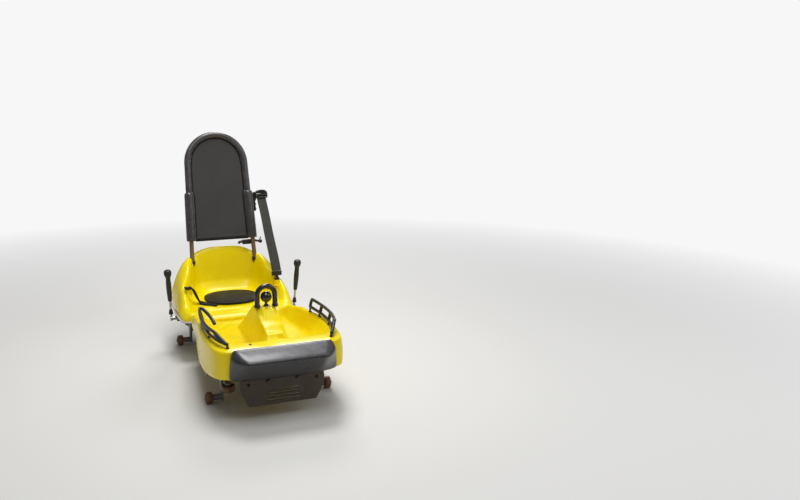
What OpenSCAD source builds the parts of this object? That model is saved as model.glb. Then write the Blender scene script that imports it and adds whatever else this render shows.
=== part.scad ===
// Mountain coaster sled for two round tube rails: moulded seat tub and footwell on a steel chassis.
// Millimetres. X to the rider's left, Y towards the back, Z up from the floor that the sled stands on.
// Stations are measured back from the bumper's tip, heights up from the axis of the rail tubes.

/* [Rails] */
// Distance between the axes of the two rail tubes
gauge = 515; // [505:5:530]
// Outer diameter of a rail tube
rail_d = 76.1; // [60:0.1:80]

/* [Wheels] */
// Rolling diameter of a running wheel
run_wheel_d = 80; // [72:1:86]
// Width of a running wheel
run_wheel_w = 24; // [20:1:28]
// Diameter of a guide wheel
guide_wheel_d = 56; // [48:1:60]
// Width of a guide wheel
guide_wheel_w = 26; // [20:1:30]
// Diameter of an under-rail wheel
upstop_wheel_d = 50; // [44:1:54]
// Width of an under-rail wheel
upstop_wheel_w = 26; // [20:1:30]
// Gap between the rail and an under-rail wheel
upstop_gap = 2; // [1:0.5:4]
// Diameter of the wheels' stub axles
stub_d = 14; // [10:1:18]
// Radial clearance of a wheel on its stub axle
wheel_play = 0.05; // [0.03:0.01:0.1]
// Station of the front axle
front_axle_s = 350; // [330:5:370]
// Station of the rear axle
rear_axle_s = 1180; // [1165:5:1200]

/* [Shell] */
// Thickness of the moulded shell
wall = 7; // [5:0.5:8]
// Widest half width of the seat tub
tub_half_w = 289; // [284:1:300]
// Widest half width of the front shell
nose_half_w = 286; // [282:1:292]
// Station of the back of the seat tub
tub_back_s = 1384; // [1380:1:1400]
// Station of the seam between front shell and seat tub
seam_s = 895; // [885:1:905]
// Width of the seam between front shell and seat tub
seam_gap = 0.4; // [0.2:0.1:2]
// Height of the footwell floor
floor_h = 100; // [96:1:110]
// Height of the seat pan
pan_h = 145; // [140:1:155]
// Height of the middle of the tub's back edge
back_edge_h = 374; // [360:1:400]
// Height of the front deck behind the bumper
deck_h = 214; // [205:1:225]

/* [Console] */
// Height of the console's top between the feet of the grab hoop
console_h = 300; // [285:1:315]
// Half width of the console on the floor
console_half_w = 54; // [50:1:70]
// Station of the grab hoop
hoop_s = 370; // [360:1:385]
// Radius of the grab hoop's arch to the middle of its tube
hoop_r = 38; // [34:1:46]
// Diameter of the grab hoop's tube
hoop_tube_d = 20; // [14:1:24]
// Height of the grab hoop above its feet
hoop_rise = 98; // [80:1:110]
// Diameter of the knob inside the hoop
knob_d = 38; // [24:1:42]

/* [Bumper] */
// Length of the bumper from its tip to the shell
bumper_l = 94; // [80:1:105]
// Half width of the bumper's lower edge
bumper_half_w = 218; // [205:1:222]
// Height of the bumper's lower edge
bumper_low_h = 86; // [80:1:95]
// Height of the bumper's crease
bumper_crease_h = 181; // [170:1:190]
// Width of the rear buffer strip
buffer_w = 300; // [240:5:360]
// Thickness of the rear buffer strip
buffer_t = 16; // [10:1:20]

/* [Backrest] */
// Half the distance between the two uprights of the back frame
back_half_w = 162; // [150:1:166]
// Inward slope of the leaning uprights, in degrees
back_taper = 1.6; // [0:0.1:2.5]
// Outer diameter of the back frame's tube
back_tube_d = 22; // [18:1:25]
// Length of the leaning part of the back frame, up to the middle of its top tube
back_l = 650; // [600:1:680]
// Lean of the back frame, in degrees
back_lean = 14; // [10:0.5:16]
// Station of the back frame's uprights inside the tub
back_foot_s = 1304; // [1300:1:1308]
// Height of the bend where the back frame starts to lean
back_bend_h = 312; // [305:1:318]
// Diameter of the thick lower padding on the uprights
pad_low_d = 48; // [42:1:52]
// Diameter of the thin upper padding on the arch
pad_top_d = 32; // [28:1:38]
// Distance along the upright from the bend to the lower end of the padding
pad_start = 101; // [90:1:115]
// Distance along the upright from the bend to the step in the padding
pad_step = 346; // [330:1:365]
// Thickness of the see-through back panel
mesh_t = 3; // [2:0.5:4]

/* [Foot guards] */
// Diameter of the foot guards' bars
guard_bar_d = 11; // [8:0.5:13]
// Height of the foot guard's top bar above the edge of the shell
guard_h = 56; // [45:1:65]
// Outward lean of the foot guards over their height
guard_lean = 16; // [8:1:22]

/* [Brake] */
// Station of the brake shaft
shaft_s = 1073; // [1060:1:1085]
// Height of the brake shaft
shaft_h = 86; // [80:1:92]
// Diameter of the brake shaft
shaft_d = 18; // [14:1:22]
// Distance from the widest part of the seat tub out to the foot of a brake lever
lever_gap = 19; // [15:1:27]
// Length of a brake lever from the shaft to the middle of its knob
lever_l = 238; // [220:1:260]
// Diameter of a brake lever's rod
lever_rod_d = 10; // [8:1:12]
// Slot between the two brake shoes
shoe_gap = 30; // [24:1:40]

/* [Belt] */
// Width of the belt webbing
belt_w = 48; // [40:1:50]
// Thickness of the belt webbing
belt_t = 2.5; // [1.5:0.5:3]

/* [Hidden] */

$fn = 48;
seat = 0.3;
small_turn = 24;

rail_r = rail_d/2;
rail_z = rail_r + upstop_gap + upstop_wheel_d;
pad_top_r = pad_top_d/2;
arch_r = (back_half_w - back_l*tan(back_taper))
    /(cos(back_taper) - tan(back_taper) + sin(back_taper)*tan(back_taper));
back_arch_v = back_l - arch_r;
upright_l = (back_arch_v + arch_r*sin(back_taper))/cos(back_taper);
back_top_s = back_foot_s + back_l*sin(back_lean);
overall_l = back_top_s + pad_top_r;
wheel_x = gauge/2;
lever_x = tub_half_w + lever_gap;

// Turns a station into Y, and a height above the rail's axis into Z
function y_at(s) = s - overall_l/2;
function z_at(h) = h + rail_z;

function mix(a, b, t) = a + (b - a)*t;
function clamp(t) = min(1, max(0, t));
function smooth(t) = let(c = clamp(t)) c*c*(3 - 2*c);
function flat(lists) = [for (l = lists) each l];
function unit(v) = v/max(norm(v), 0.000001);

// Smooth curve through the rows [station, value] of a table
function curve(s, rows, i = 0) =
    i >= len(rows) - 1 ? rows[len(rows) - 1][1]
    : s < rows[i + 1][0] ? mix(rows[i][1], rows[i + 1][1], smooth((s - rows[i][0])/(rows[i + 1][0] - rows[i][0])))
    : curve(s, rows, i + 1);

// Plan outlines: half an outline as [half width, station] corners, mirrored and its corners cut twice
function whole(half) = concat(half, [for (i = [len(half) - 2:-1:1]) [-half[i][0], half[i][1]]]);
function cut_corners(loop) =
    flat([for (i = [0:len(loop) - 1]) let(a = loop[i], b = loop[(i + 1) % len(loop)])
        [mix(a, b, 0.25), mix(a, b, 0.75)]]);
function outline(half) = cut_corners(cut_corners(whole(half)));

// Skin of a pod: rings of equal length, from the first pole to the last, as one closed solid
module pod(rings, first, last) {
    n = len(rings[0]);
    k = len(rings);
    points = concat([first], flat(rings), [last]);
    end = len(points) - 1;
    faces = concat(
        [for (j = [0:n - 1]) [0, 1 + (j + 1) % n, 1 + j]],
        flat([for (i = [0:k - 2]) flat([for (j = [0:n - 1])
            let(a = 1 + i*n + j, b = 1 + i*n + (j + 1) % n, c = b + n, d = a + n) [[a, b, c], [a, c, d]]])]),
        [for (j = [0:n - 1]) [end, end - n + j, end - n + (j + 1) % n]]);
    polyhedron(points, faces, convexity = 8);
}

// Hidden side of a skin: each point of the rings moved in by the wall, square to the surface
function inward(rings, i, j) =
    let(n = len(rings[0]), k = len(rings),
        along = rings[min(i + 1, k - 1)][j] - rings[max(i - 1, 0)][j],
        around = rings[i][(j + 1) % n] - rings[i][(j - 1 + n) % n])
    rings[i][j] - wall*unit(cross(along, around));
module thin_shell(rings, pole) {
    hidden = [for (i = [len(rings) - 1:-1:0]) [for (j = [0:len(rings[0]) - 1]) inward(rings, i, j)]];
    pod(concat(rings, hidden), pole, pole - [0, 0, wall]);
}

// Seat tub

tub_half = [[0, seam_s + seam_gap], [tub_half_w - 32, seam_s + seam_gap], [tub_half_w - 9, 930],
    [tub_half_w - 2, 1050], [tub_half_w, 1180], [tub_half_w - 5, 1290], [tub_half_w - 58, tub_back_s - 10],
    [150, tub_back_s], [0, tub_back_s]];

// Edge of the tub and of its skirt along the side: station, height
tub_edge = [[900, 146], [960, 150], [1050, 212], [1130, 232], [1200, 262], [1270, 312], [1340, 332]];
tub_skirt = [[900, 108], [960, 110], [1110, 142], [1384, 148]];

// Rows of the tub's skin: side inset along the arms and at the back, back inset, seam inset,
// measured from the pan (1) or the skirt (0), share of the edge, depth below the pan at the seam
tub_rows = [
    [142, 170, 112, 92, 1, 0.00, 3],
    [ 90, 150,  84, 70, 1, 0.06, 6],
    [ 70, 128,  68, 50, 1, 0.40, 10],
    [ 60, 112,  56, 34, 1, 0.85, 14],
    [ 51,  99,  45, 22, 1, 0.98, 19],
    [ 42,  88,  36, 13, 1, 1.00, 24],
    [ 32,  72,  24,  6, 0, 0.97, 29],
    [ 20,  44,  12, 1.5, 0, 0.80, 34],
    [  8,  17,   3,  0, 0, 0.45, 39],
    [  1,   3,   0,  0, 0, 0.20, 45],
    [  6,   6,   4,  0, 0, 0.00, 52]];
arm_end_s = 1080;
arm_blend = 200;

function tub_edge_h(x, s) =
    curve(s, tub_edge) + (back_edge_h - 332)*smooth((s - 1250)/100)*(1 - pow(clamp(abs(x)/230), 3));
function seam_share(u, v) = smooth((v - 0.9)/0.08)*smooth((0.88 - abs(u))/0.16);

function tub_point(p, row) =
    let(l = tub_back_s - seam_s - seam_gap, v = (tub_back_s - p[1])/l, u = p[0]/tub_half_w,
        x = p[0]*(1 - mix(row[0], row[1], smooth((p[1] - arm_end_s)/arm_blend))/tub_half_w),
        s = tub_back_s - row[2] - v*(l - row[2] - row[3]),
        low = row[4] == 1 ? pan_h : curve(s, tub_skirt),
        side_h = low + row[5]*(tub_edge_h(p[0], p[1]) - low),
        h = mix(side_h, pan_h - row[6], seam_share(u, v)))
    [x, y_at(s), z_at(h)];
function tub_rings() = [for (row = tub_rows) [for (p = outline(tub_half)) tub_point(p, row)]];

socket_bore_d = back_tube_d + 8;
socket_l = 16;
arm_boss_x = tub_half_w - 63;
anchor_boss_s = 1092;
strap_boss_s = 1060;
arm_boss_h = 230;
arm_boss_d = 30;
arm_boss_l = 26;

module arm_boss(x, s) {
    translate([x, y_at(s), z_at(arm_boss_h - arm_boss_l)]) cylinder(h = arm_boss_l, d = arm_boss_d);
}

module seat_tub() {
    color("gold") difference() {
        union() {
            thin_shell(tub_rings(), [0, y_at(1130), z_at(pan_h)]);
            arm_boss(arm_boss_x, anchor_boss_s);
            arm_boss(-arm_boss_x, strap_boss_s);
        }
        for (side = [-1, 1]) translate([side*back_half_w, y_at(back_foot_s), 0]) {
            translate([0, 0, z_at(pan_h - 30)])
                cylinder(h = back_bend_h - pan_h + 110, d = back_tube_d + 2*seat);
            translate([0, 0, z_at(back_bend_h - socket_l)]) cylinder(h = socket_l + 60, d = socket_bore_d);
        }
        lean() for (side = [-1, 1]) upright(side, 0) cylinder(h = 80, d = back_tube_d + 4*seat);
    }
}

// Pale edge of the lower moulding, under the skirt of the tub
rim_h = 6;
rim_w = 9;
rim_out = 1;
rim_gap = 2.2;
module lower_rim() {
    half = [for (p = tub_half) [p[0]*(1 - 5/tub_half_w), p[1]]];
    loop = [for (p = outline(half)) if (p[1] > seam_s + 60) p];
    n = len(loop);
    function rim_point(p, inset, drop) =
        [p[0]*(1 - inset/tub_half_w), y_at(mix(p[1], 1130, inset/300) - 4), z_at(curve(p[1], tub_skirt) - drop)];
    rings = [for (corner = [[-rim_out, rim_gap], [-rim_out, rim_gap + rim_h], [rim_w, rim_gap + rim_h], [rim_w, rim_gap]])
        [for (p = loop) rim_point(p, corner[0], corner[1])]];
    points = flat([for (j = [0:n - 1]) [for (r = rings) r[j]]]);
    faces = concat([[0, 1, 2, 3]],
        flat([for (j = [0:n - 2]) flat([for (c = [0:3]) let(a = 4*j + c, b = 4*j + (c + 1) % 4)
            [[a, a + 4, b + 4], [a, b + 4, b]]])]),
        [[4*n - 1, 4*n - 2, 4*n - 3, 4*n - 4]]);
    color("gainsboro") polyhedron(points, faces, convexity = 4);
}

// Front shell with the two footwells, the front deck and the console

nose_s = bumper_l + seat;
nose_half = [[0, nose_s], [150, nose_s], [nose_half_w - 42, nose_s], [nose_half_w - 10, 160],
    [nose_half_w + 2, 310], [nose_half_w, 430], [nose_half_w - 20, 600], [nose_half_w - 32, 760],
    [nose_half_w - 42, seam_s], [0, seam_s]];

nose_edge = [[95, deck_h], [300, deck_h], [410, deck_h - 3], [640, deck_h - 18], [800, deck_h - 44], [895, 146]];
nose_skirt = [[95, 92], [320, 70], [450, 70], [620, 98], [895, 104]];

// Rows of the front shell's skin: side inset, front inset, seam inset, measured from the floor,
// share of the edge, depth below the floor at the seam
nose_rows = [
    [ 90, 385, 40, 1, 0.00, 0],
    [ 68, 350, 30, 1, 0.07, 0],
    [ 54, 245, 20, 1, 0.36, 0],
    [ 44, 130, 12, 1, 0.80, 0],
    [ 36,  98, 6.9, 1, 0.97, 0.8],
    [ 28,  78, 2.8, 1, 1.00, 2.4],
    [ 14,   8, 0.4, 0, 0.99, 4.6],
    [  8,   2,  0, 0, 0.93, 7],
    [  4,   0,  0, 0, 0.70, 10],
    [  0,   0,  0, 0, 0.32, 13],
    [  4,   3,  0, 0, 0.00, 17]];

function nose_point(p, row) =
    let(l = seam_s - nose_s, v = (p[1] - nose_s)/l, u = p[0]/(nose_half_w - 42),
        x = p[0]*(1 - row[0]/nose_half_w),
        s = nose_s + row[1] + v*(l - row[1] - row[2]),
        low = row[3] == 1 ? floor_h : curve(s, nose_skirt),
        side_h = low + row[4]*(curve(p[1], nose_edge) - low),
        h = mix(side_h, floor_h - row[5], seam_share(u, v)))
    [x, y_at(s), z_at(h)];
function nose_rings() = [for (row = nose_rows) [for (p = outline(nose_half)) nose_point(p, row)]];

// Console: the skin's floor rises to the ridge that carries the hoop
console_foot = [[180, 212], [225, 190], [340, 142], [420, 115], [480, 100], [900, 100]];
console_ridge = [[205, 224], [262, 238], [330, 276], [385, 298], [430, 302], [480, 278]];
console_front_s = 205;
console_back_s = 822;
console_top_half_w = 47;
console_crown = 4;
ridge_front_s = 228;
ridge_back_s = 440;

// Rows of the console, from its top down: share of the way in from foot to ridge, share of the rise,
// size of the ridge ring
console_rows = [[1, 1, 0.25], [1, 1, 0.48], [1, 1, 0.64], [1, 1, 0.74], [1, 1, 0.84], [1, 1, 0.93], [1, 1, 1],
    [0.95, 0.95, 1], [0.86, 0.86, 1], [0.6, 0.57, 1], [0.3, 0.24, 1], [0.1, 0.05, 1], [0, 0, 1]];

// The hoop stands on a boss with a rounded front: half width, station of its front, height of its top
boss_half_w = 34;
boss_front_s = 292;
boss_top_h = 301;
function boss_share(x, s) =
    smooth((boss_half_w + 5 - norm([x, min(0, s - boss_front_s - boss_half_w)]))/9);

function console_point(p, row) =
    let(v = (p[1] - nose_s)/(seam_s - nose_s), u = p[0]/nose_half_w,
        foot = [console_half_w*u, mix(console_front_s, console_back_s, v)],
        ridge = [console_top_half_w*row[2]*u,
            mix(hoop_s, mix(ridge_front_s, ridge_back_s, v), row[2])],
        q = mix(foot, ridge, row[0]),
        crown = console_crown*(1 - row[2]*row[2]),
        top_h = curve(ridge[1], console_ridge) + crown,
        h = mix(curve(q[1], console_foot), mix(top_h, max(top_h, boss_top_h), boss_share(q[0], q[1])), row[1]))
    [q[0], y_at(q[1]), z_at(h)];

module front_shell() {
    loop = outline(nose_half);
    rings = concat([for (row = console_rows) [for (p = loop) console_point(p, row)]], nose_rings());
    color("gold") thin_shell(rings, [0, y_at(hoop_s), z_at(console_h + console_crown)]);
}

// Front bumper: rings from the upper back edge over the crease to the lower edge
// Columns: height, station of the front, how far the front and the end at the shell are inside the half width
bumper_rows = [
    [deck_h + 4, 84, 32, 28], [deck_h + 1, 70, 32, 20], [bumper_crease_h + 24, 38, 42, 12],
    [bumper_crease_h + 9, 12, 50, 8], [bumper_crease_h + 3, 2, 53, 7], [bumper_crease_h - 3, 0, 54, 6],
    [bumper_crease_h - 10, 4, 55, 5], [bumper_crease_h - 45, 30, 60, 2],
    [bumper_low_h + 20, 58, 68, 0], [bumper_low_h, 76, 72, 1]];

function cut_line(line) = concat([line[0]], flat([for (i = [0:len(line) - 2])
    [mix(line[i], line[i + 1], 0.25), mix(line[i], line[i + 1], 0.75)]]), [line[len(line) - 1]]);
function bumper_ring(row) =
    let(half_w = bumper_half_w - row[3], front_w = bumper_half_w - row[2], front = row[1],
        end = mix(front, bumper_l, 0.62),
        side = [[-half_w, bumper_l], [-half_w, end], [-front_w, front], [-front_w + 40, front]],
        line = cut_line(cut_line(concat(side, [for (i = [3:-1:0]) [-side[i][0], side[i][1]]]))))
    concat([for (p = line) [p[0], y_at(p[1]), z_at(row[0])]],
        [for (x = [0.5, 0, -0.5]) [half_w*x, y_at(bumper_l), z_at(row[0])]]);
module front_bumper() {
    rings = [for (row = bumper_rows) bumper_ring(row)];
    color("dimgray") pod(rings, [0, y_at(bumper_l - 5), z_at(deck_h + 4)],
        [0, y_at(bumper_l - 7), z_at(bumper_low_h)]);
}

module rear_buffer() {
    buffer_h = 36;
    color("dimgray") translate([0, y_at(chassis_back_s) + buffer_t/2, z_at(beam_top_h + 2)])
        rotate([90, 0, 0]) linear_extrude(buffer_t, center = true)
            offset(r = 8) square([buffer_w - 16, buffer_h - 16], center = true);
}

// Seat mat, a shallow crowned lens on the pan
mat_half_w = 135;
mat_half_l = 126;
mat_s = 1127;
module seat_mat() {
    rows = [[1, 0], [1, 4], [0.93, 10], [0.78, 15], [0.45, 19]];
    rings = [for (row = rows) [for (j = [0:39]) let(a = j*9)
        [mat_half_w*row[0]*cos(a), y_at(mat_s + mat_half_l*row[0]*sin(a)), z_at(pan_h + seat + row[1])]]];
    color("dimgray") pod([for (i = [len(rings) - 1:-1:0]) rings[i]], [0, y_at(mat_s), z_at(pan_h + seat + 20)],
        [0, y_at(mat_s), z_at(pan_h + seat)]);
}

// Flat band along points: each point is [x, station, height], across is the direction of its width
module band(route, across, width, thickness) {
    n = len(route);
    p = [for (q = route) [q[0], y_at(q[1]), z_at(q[2])]];
    function square_to(i) = unit(cross(across[i], p[min(i + 1, n - 1)] - p[max(i - 1, 0)]));
    points = flat([for (i = [0:n - 1]) [for (c = [[-1, -1], [1, -1], [1, 1], [-1, 1]])
        p[i] + c[0]*width/2*unit(across[i]) + c[1]*thickness/2*square_to(i)]]);
    faces = concat([[3, 2, 1, 0]],
        flat([for (j = [0:n - 2]) flat([for (c = [0:3]) let(a = 4*j + c, b = 4*j + (c + 1) % 4)
            [[a, b, b + 4], [a, b + 4, a + 4]]])]),
        [[4*n - 4, 4*n - 3, 4*n - 2, 4*n - 1]]);
    polyhedron(points, faces, convexity = 4);
}

strap_w = 30;
strap_t = 3;
module lap_strap() {
    outer = [[13, 1060, 232.2], [-18, 1062, 232.2], [-29.5, 1064, 215], [-41.5, 1066, 187], [-53, 1067, 161],
        [-64, 1064, 152]];
    on_pan = [[-148, 1054, 148.5], [-130, 1040, 147.6], [-110, 1026, 147.6], [-92, 1014, 147.6]];
    route = concat([for (q = outer) [-arm_boss_x - q[0], q[1], q[2]]], on_pan);
    last = len(route) - 1;
    across = [for (i = [0:last]) unit(cross([0, 0, 1], route[min(i + 1, last)] - route[max(i - 1, 0)]))];
    color("black") band(route, across, strap_w, strap_t);
}

// Belt: upper guide on the back frame, webbing, and lower anchor on the tub's arm

guide_x = 220;
guide_root_x = back_half_w - (pad_step - 80)*tan(back_taper) + pad_low_d/2 + 1;
guide_v = pad_step - 18;
anchor_h = 46;

module lean() {
    translate([0, y_at(back_foot_s), z_at(back_bend_h)]) rotate([-back_lean, 0, 0]) children();
}
function lean_s(v) = back_foot_s + v*sin(back_lean);
function lean_h(v) = back_bend_h + v*cos(back_lean);

module belt_webbing() {
    route = [[guide_x, lean_s(guide_v) - 17, lean_h(guide_v) - 22 - seat],
        [arm_boss_x, anchor_boss_s, arm_boss_h + anchor_h + 4*seat]];
    color("gray") band(route, [[1, 0, 0], [1, 0, 0]], belt_w, belt_t);
}

guide_bar_d = 14;
guide_bar_l = 60;
guide_root_l = 104;
guide_root_t = 10;
guide_cheek = [5, 22, 32];
module belt_guide() {
    root_mid_x = guide_root_x + guide_root_t/2;
    color("black") lean() {
        translate([guide_root_x, -6, guide_v + 14 - guide_root_l]) cube([guide_root_t, guide_cheek[1], guide_root_l]);
        translate([root_mid_x, -11, guide_v - 14]) cube([guide_x + 26 - root_mid_x, 10, 28]);
        translate([guide_x - guide_bar_l/2, -17, guide_v]) rotate([0, 90, 0])
            cylinder(h = guide_bar_l, d = guide_bar_d);
        for (x = [guide_x - guide_bar_l/2, guide_x + guide_bar_l/2 - guide_cheek[0]])
            translate([x, -22, guide_v - 18]) cube(guide_cheek);
    }
}

module belt_anchor() {
    color("black") translate([arm_boss_x, y_at(anchor_boss_s), z_at(arm_boss_h)]) {
        cylinder(h = 10, d = arm_boss_d - 4);
        translate([-8, -4, 0]) cube([16, 8, anchor_h - 12]);
        translate([-belt_w/2 - 2, -7, anchor_h - 24]) linear_extrude(24)
            offset(r = 3) translate([3, 3]) square([belt_w - 2, 8]);
    }
}

// Grab hoop and knob on the console

hoop_foot_h = console_h + 1;
module grab_hoop() {
    leg = hoop_rise - hoop_r - hoop_tube_d/2;
    color("black") translate([0, y_at(hoop_s), z_at(hoop_foot_h)]) {
        translate([0, 0, leg]) rotate([90, 0, 0]) rotate_extrude(angle = 180)
            translate([hoop_r, 0]) circle(d = hoop_tube_d);
        for (side = [-1, 1]) translate([side*hoop_r, 0, 0]) {
            cylinder(h = leg, d = hoop_tube_d);
            cylinder(h = 7, d = hoop_tube_d + 5);
        }
    }
}

module console_knob() {
    stem_h = 24;
    color("black") translate([0, y_at(hoop_s), z_at(console_h + console_crown + seat)]) {
        cylinder(h = stem_h, d = 12);
        cylinder(h = 5, d = 22);
        translate([0, 0, stem_h + knob_d/2 - 4]) sphere(d = knob_d);
    }
}

// Foot guards: a plate with three windows that follows the shell's edge and leans outwards
// Columns: station, distance of the plate's root inside the shell's half width
guard_plan = [[118, 88], [160, 70], [205, 56], [260, 45], [318, 39], [432, 40], [560, 54]];
// Columns: start and end station of a window, slope of its front end
guard_windows = [[184, 300, 40], [318, 424, 0], [442, 540, 0]];
// Feet: station, distance inside the shell's half width, height of the shell's edge over the deck
guard_feet = [[136, 74, -0.4], [300, 32, 0.2], [432, 34, -3], [544, 44, -9.6]];
guard_t = 10;
guard_root_h = deck_h - 18;
guard_low_v = 28;
guard_top_v = guard_low_v + guard_h - 12;

module guard_panel(s0, s1, slope, v0, v1, r) {
    hull() for (c = [[s0 + r, v0 + r], [s1 - r, v0 + r], [s1 - r, v1 - r], [s0 + slope + r, v1 - r]])
        translate(c) circle(r = r, $fn = small_turn);
}
module foot_guard() {
    pivot_x = nose_half_w - 40;
    intersection() {
        translate([pivot_x, 0, z_at(guard_root_h)]) rotate([0, guard_lean, 0])
            translate([-pivot_x, 0, 0]) linear_extrude(2*guard_top_v + 20, center = true) polygon(concat(
                [for (p = guard_plan) [nose_half_w - p[1] - guard_t/2, y_at(p[0])]],
                [for (i = [len(guard_plan) - 1:-1:0])
                    [nose_half_w - guard_plan[i][1] + guard_t/2, y_at(guard_plan[i][0])]]));
        translate([0, y_at(0), z_at(guard_root_h)]) rotate([90, 0, 90])
            linear_extrude(nose_half_w + 40) difference() {
                guard_panel(126, 552, 64, guard_low_v, guard_top_v, 7);
                for (w = guard_windows)
                    guard_panel(w[0], w[1], w[2], guard_low_v + guard_bar_d, guard_top_v - guard_bar_d, 4);
            }
    }
    for (foot = guard_feet) let(foot_h = deck_h + foot[2] + seat)
        translate([nose_half_w - foot[1], y_at(foot[0]), z_at(foot_h)])
            cylinder(h = guard_root_h + guard_low_v + 3 - foot_h, d = guard_t - 1, $fn = small_turn);
}
module foot_guard_left() { color("black") mirror([1, 0, 0]) foot_guard(); }
module foot_guard_right() { color("black") foot_guard(); }

// Backrest: tube frame, padding, see-through panel and sockets

// A bent tube is a little thicker in its bend
bend_swell = 0.4;

// Along an upright: side is -1 or 1, v the distance from the bend
module upright(side, v) {
    translate([side*back_half_w, 0, 0]) rotate([0, -side*back_taper, 0]) translate([0, 0, v]) children();
}
module arch_tube(d, from_v) {
    lap = 2;
    for (side = [-1, 1]) upright(side, from_v) cylinder(h = upright_l - from_v, d = d);
    translate([0, 0, back_arch_v]) rotate([90, 0, 0])
        rotate_extrude(angle = 180 - 2*back_taper + 2*lap, start = back_taper - lap)
            translate([arch_r, 0]) circle(d = d + bend_swell);
}

module back_frame() {
    color("tan") {
        lean() arch_tube(back_tube_d, 0);
        for (side = [-1, 1]) {
            translate([side*back_half_w, y_at(back_foot_s), z_at(socket_floor_h)])
                cylinder(h = back_bend_h - socket_floor_h, d = back_tube_d);
            translate([side*back_half_w, y_at(back_foot_s), z_at(back_bend_h)])
                sphere(d = back_tube_d + bend_swell);
        }
    }
}

module frame_padding() {
    color("black") lean() difference() {
        union() {
            arch_tube(pad_top_d, pad_step);
            for (side = [-1, 1]) {
                upright(side, pad_start) cylinder(h = pad_step - pad_start, d = pad_low_d);
                upright(side, pad_step) cylinder(h = 12, d1 = pad_low_d, d2 = pad_top_d);
            }
        }
        arch_tube(back_tube_d + 2*seat, pad_start - 1);
    }
}

function upright_x(v) = back_half_w - v*tan(back_taper);
module back_mesh() {
    low_in = pad_low_d/2 + 2*seat;
    top_in = pad_top_r + 2*seat;
    step_v = pad_step + 13;
    half = [[upright_x(pad_start) - low_in, pad_start], [upright_x(step_v) - low_in, step_v],
        [upright_x(step_v) - top_in, step_v], [upright_x(back_arch_v) - top_in, back_arch_v]];
    color("darkslategray") lean() rotate([90, 0, 0]) linear_extrude(mesh_t, center = true) {
        polygon(concat(half, [for (i = [len(half) - 1:-1:0]) [-half[i][0], half[i][1]]]));
        translate([0, back_arch_v]) circle(r = arch_r - top_in, $fn = 96);
    }
}

module tube_sockets() {
    color("black") for (side = [-1, 1])
        translate([side*back_half_w, y_at(back_foot_s), z_at(back_bend_h - socket_l)]) difference() {
            cylinder(h = socket_l, d = socket_bore_d - 2*seat);
            translate([0, 0, -1]) cylinder(h = socket_l + 2, d = back_tube_d + 2*seat);
        }
}

// Chassis: two long beams with the shaft's bearings, and the members that lie across them

beam_x = 120;
beam_w = 40;
beam_h = 36;
beam_top_h = 56;
chassis_front_s = 118;
chassis_back_s = 1360;
plate_t = 10;
plate_x = wheel_x - rail_r - 20;
bearing_half_l = 22;
bearing_h = 20;

module box(x0, x1, s0, s1, h0, h1) {
    translate([x0, y_at(s0), z_at(h0)]) cube([x1 - x0, s1 - s0, h1 - h0]);
}

module chassis_frame() {
    color("darkkhaki") difference() {
        for (side = [-1, 1]) {
            box(side*beam_x - beam_w/2, side*beam_x + beam_w/2, chassis_front_s, chassis_back_s,
                beam_top_h - beam_h, beam_top_h);
            box(side*(beam_x + 30) - 19, side*(beam_x + 30) + 19, shaft_s - bearing_half_l,
                shaft_s + bearing_half_l, beam_top_h - bearing_h, shaft_h + bearing_h);
        }
        translate([0, y_at(shaft_s), z_at(shaft_h)]) rotate([0, 90, 0])
            cylinder(h = 2*beam_x + 200, d = shaft_d + 2*wheel_play, center = true);
    }
}

mid_beam_s = 640;
post_w = 30;
post_s = [1014, rear_axle_s - post_w/2];
socket_floor_h = 92;
floor_under_h = floor_h - wall - seat;
pan_under_h = pan_h - wall - seat;
tow_bore_d = 16;
tow_lug_t = 14;
tow_lug_half_w = 24;
tow_lug_h = beam_top_h - beam_h + 6;
tow_bore_back = 13;
back_plate_t = 12;
back_plate_s = chassis_back_s - 40;

// Members across the beams: station, half width, height of the top
members = [[front_axle_s, plate_x, beam_top_h + 30], [mid_beam_s, 170, floor_under_h],
    [rear_axle_s, plate_x, beam_top_h + 40], [back_foot_s - 4, back_half_w + 20, socket_floor_h]];

module cross_members() {
    rest_h = beam_top_h + seat;
    color("darkkhaki") difference() {
        union() {
            for (m = members) box(-m[1], m[1], m[0] - beam_w/2, m[0] + beam_w/2, rest_h, m[2]);
            for (side = [-1, 1]) for (s = post_s)
                box(side*beam_x - post_w/2, side*beam_x + post_w/2, s, s + post_w, rest_h, pan_under_h);
            box(-beam_x + beam_w/2 + seat, beam_x - beam_w/2 - seat, back_plate_s, back_plate_s + back_plate_t,
                beam_top_h - beam_h + 2, beam_top_h - 2);
            box(-tow_lug_half_w, tow_lug_half_w, back_plate_s + 6, chassis_back_s, tow_lug_h,
                tow_lug_h + tow_lug_t);
        }
        translate([0, y_at(chassis_back_s - tow_bore_back), z_at(tow_lug_h - 1)])
            cylinder(h = tow_lug_t + 2, d = tow_bore_d);
    }
}

// Front cross plate under the bumper, with two bolt holes and a slotted window
plate_half_w = 172;
plate_low_h = -34;
plate_hole_x = 140;
plate_hole_h = 60;
plate_hole_d = 14;
module front_crossplate() {
    color("darkkhaki") translate([0, y_at(chassis_front_s), z_at(0)]) rotate([90, 0, 0])
        linear_extrude(6) difference() {
            polygon([[-plate_half_w, 78], [-plate_half_w, 28], [-plate_half_w + 34, plate_low_h],
                [plate_half_w - 34, plate_low_h], [plate_half_w, 28], [plate_half_w, 78]]);
            for (side = [-1, 1]) translate([side*plate_hole_x, plate_hole_h]) circle(d = plate_hole_d);
            for (row = [0:3]) translate([-70, -18 + row*14]) square([140, 6]);
        }
}

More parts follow.
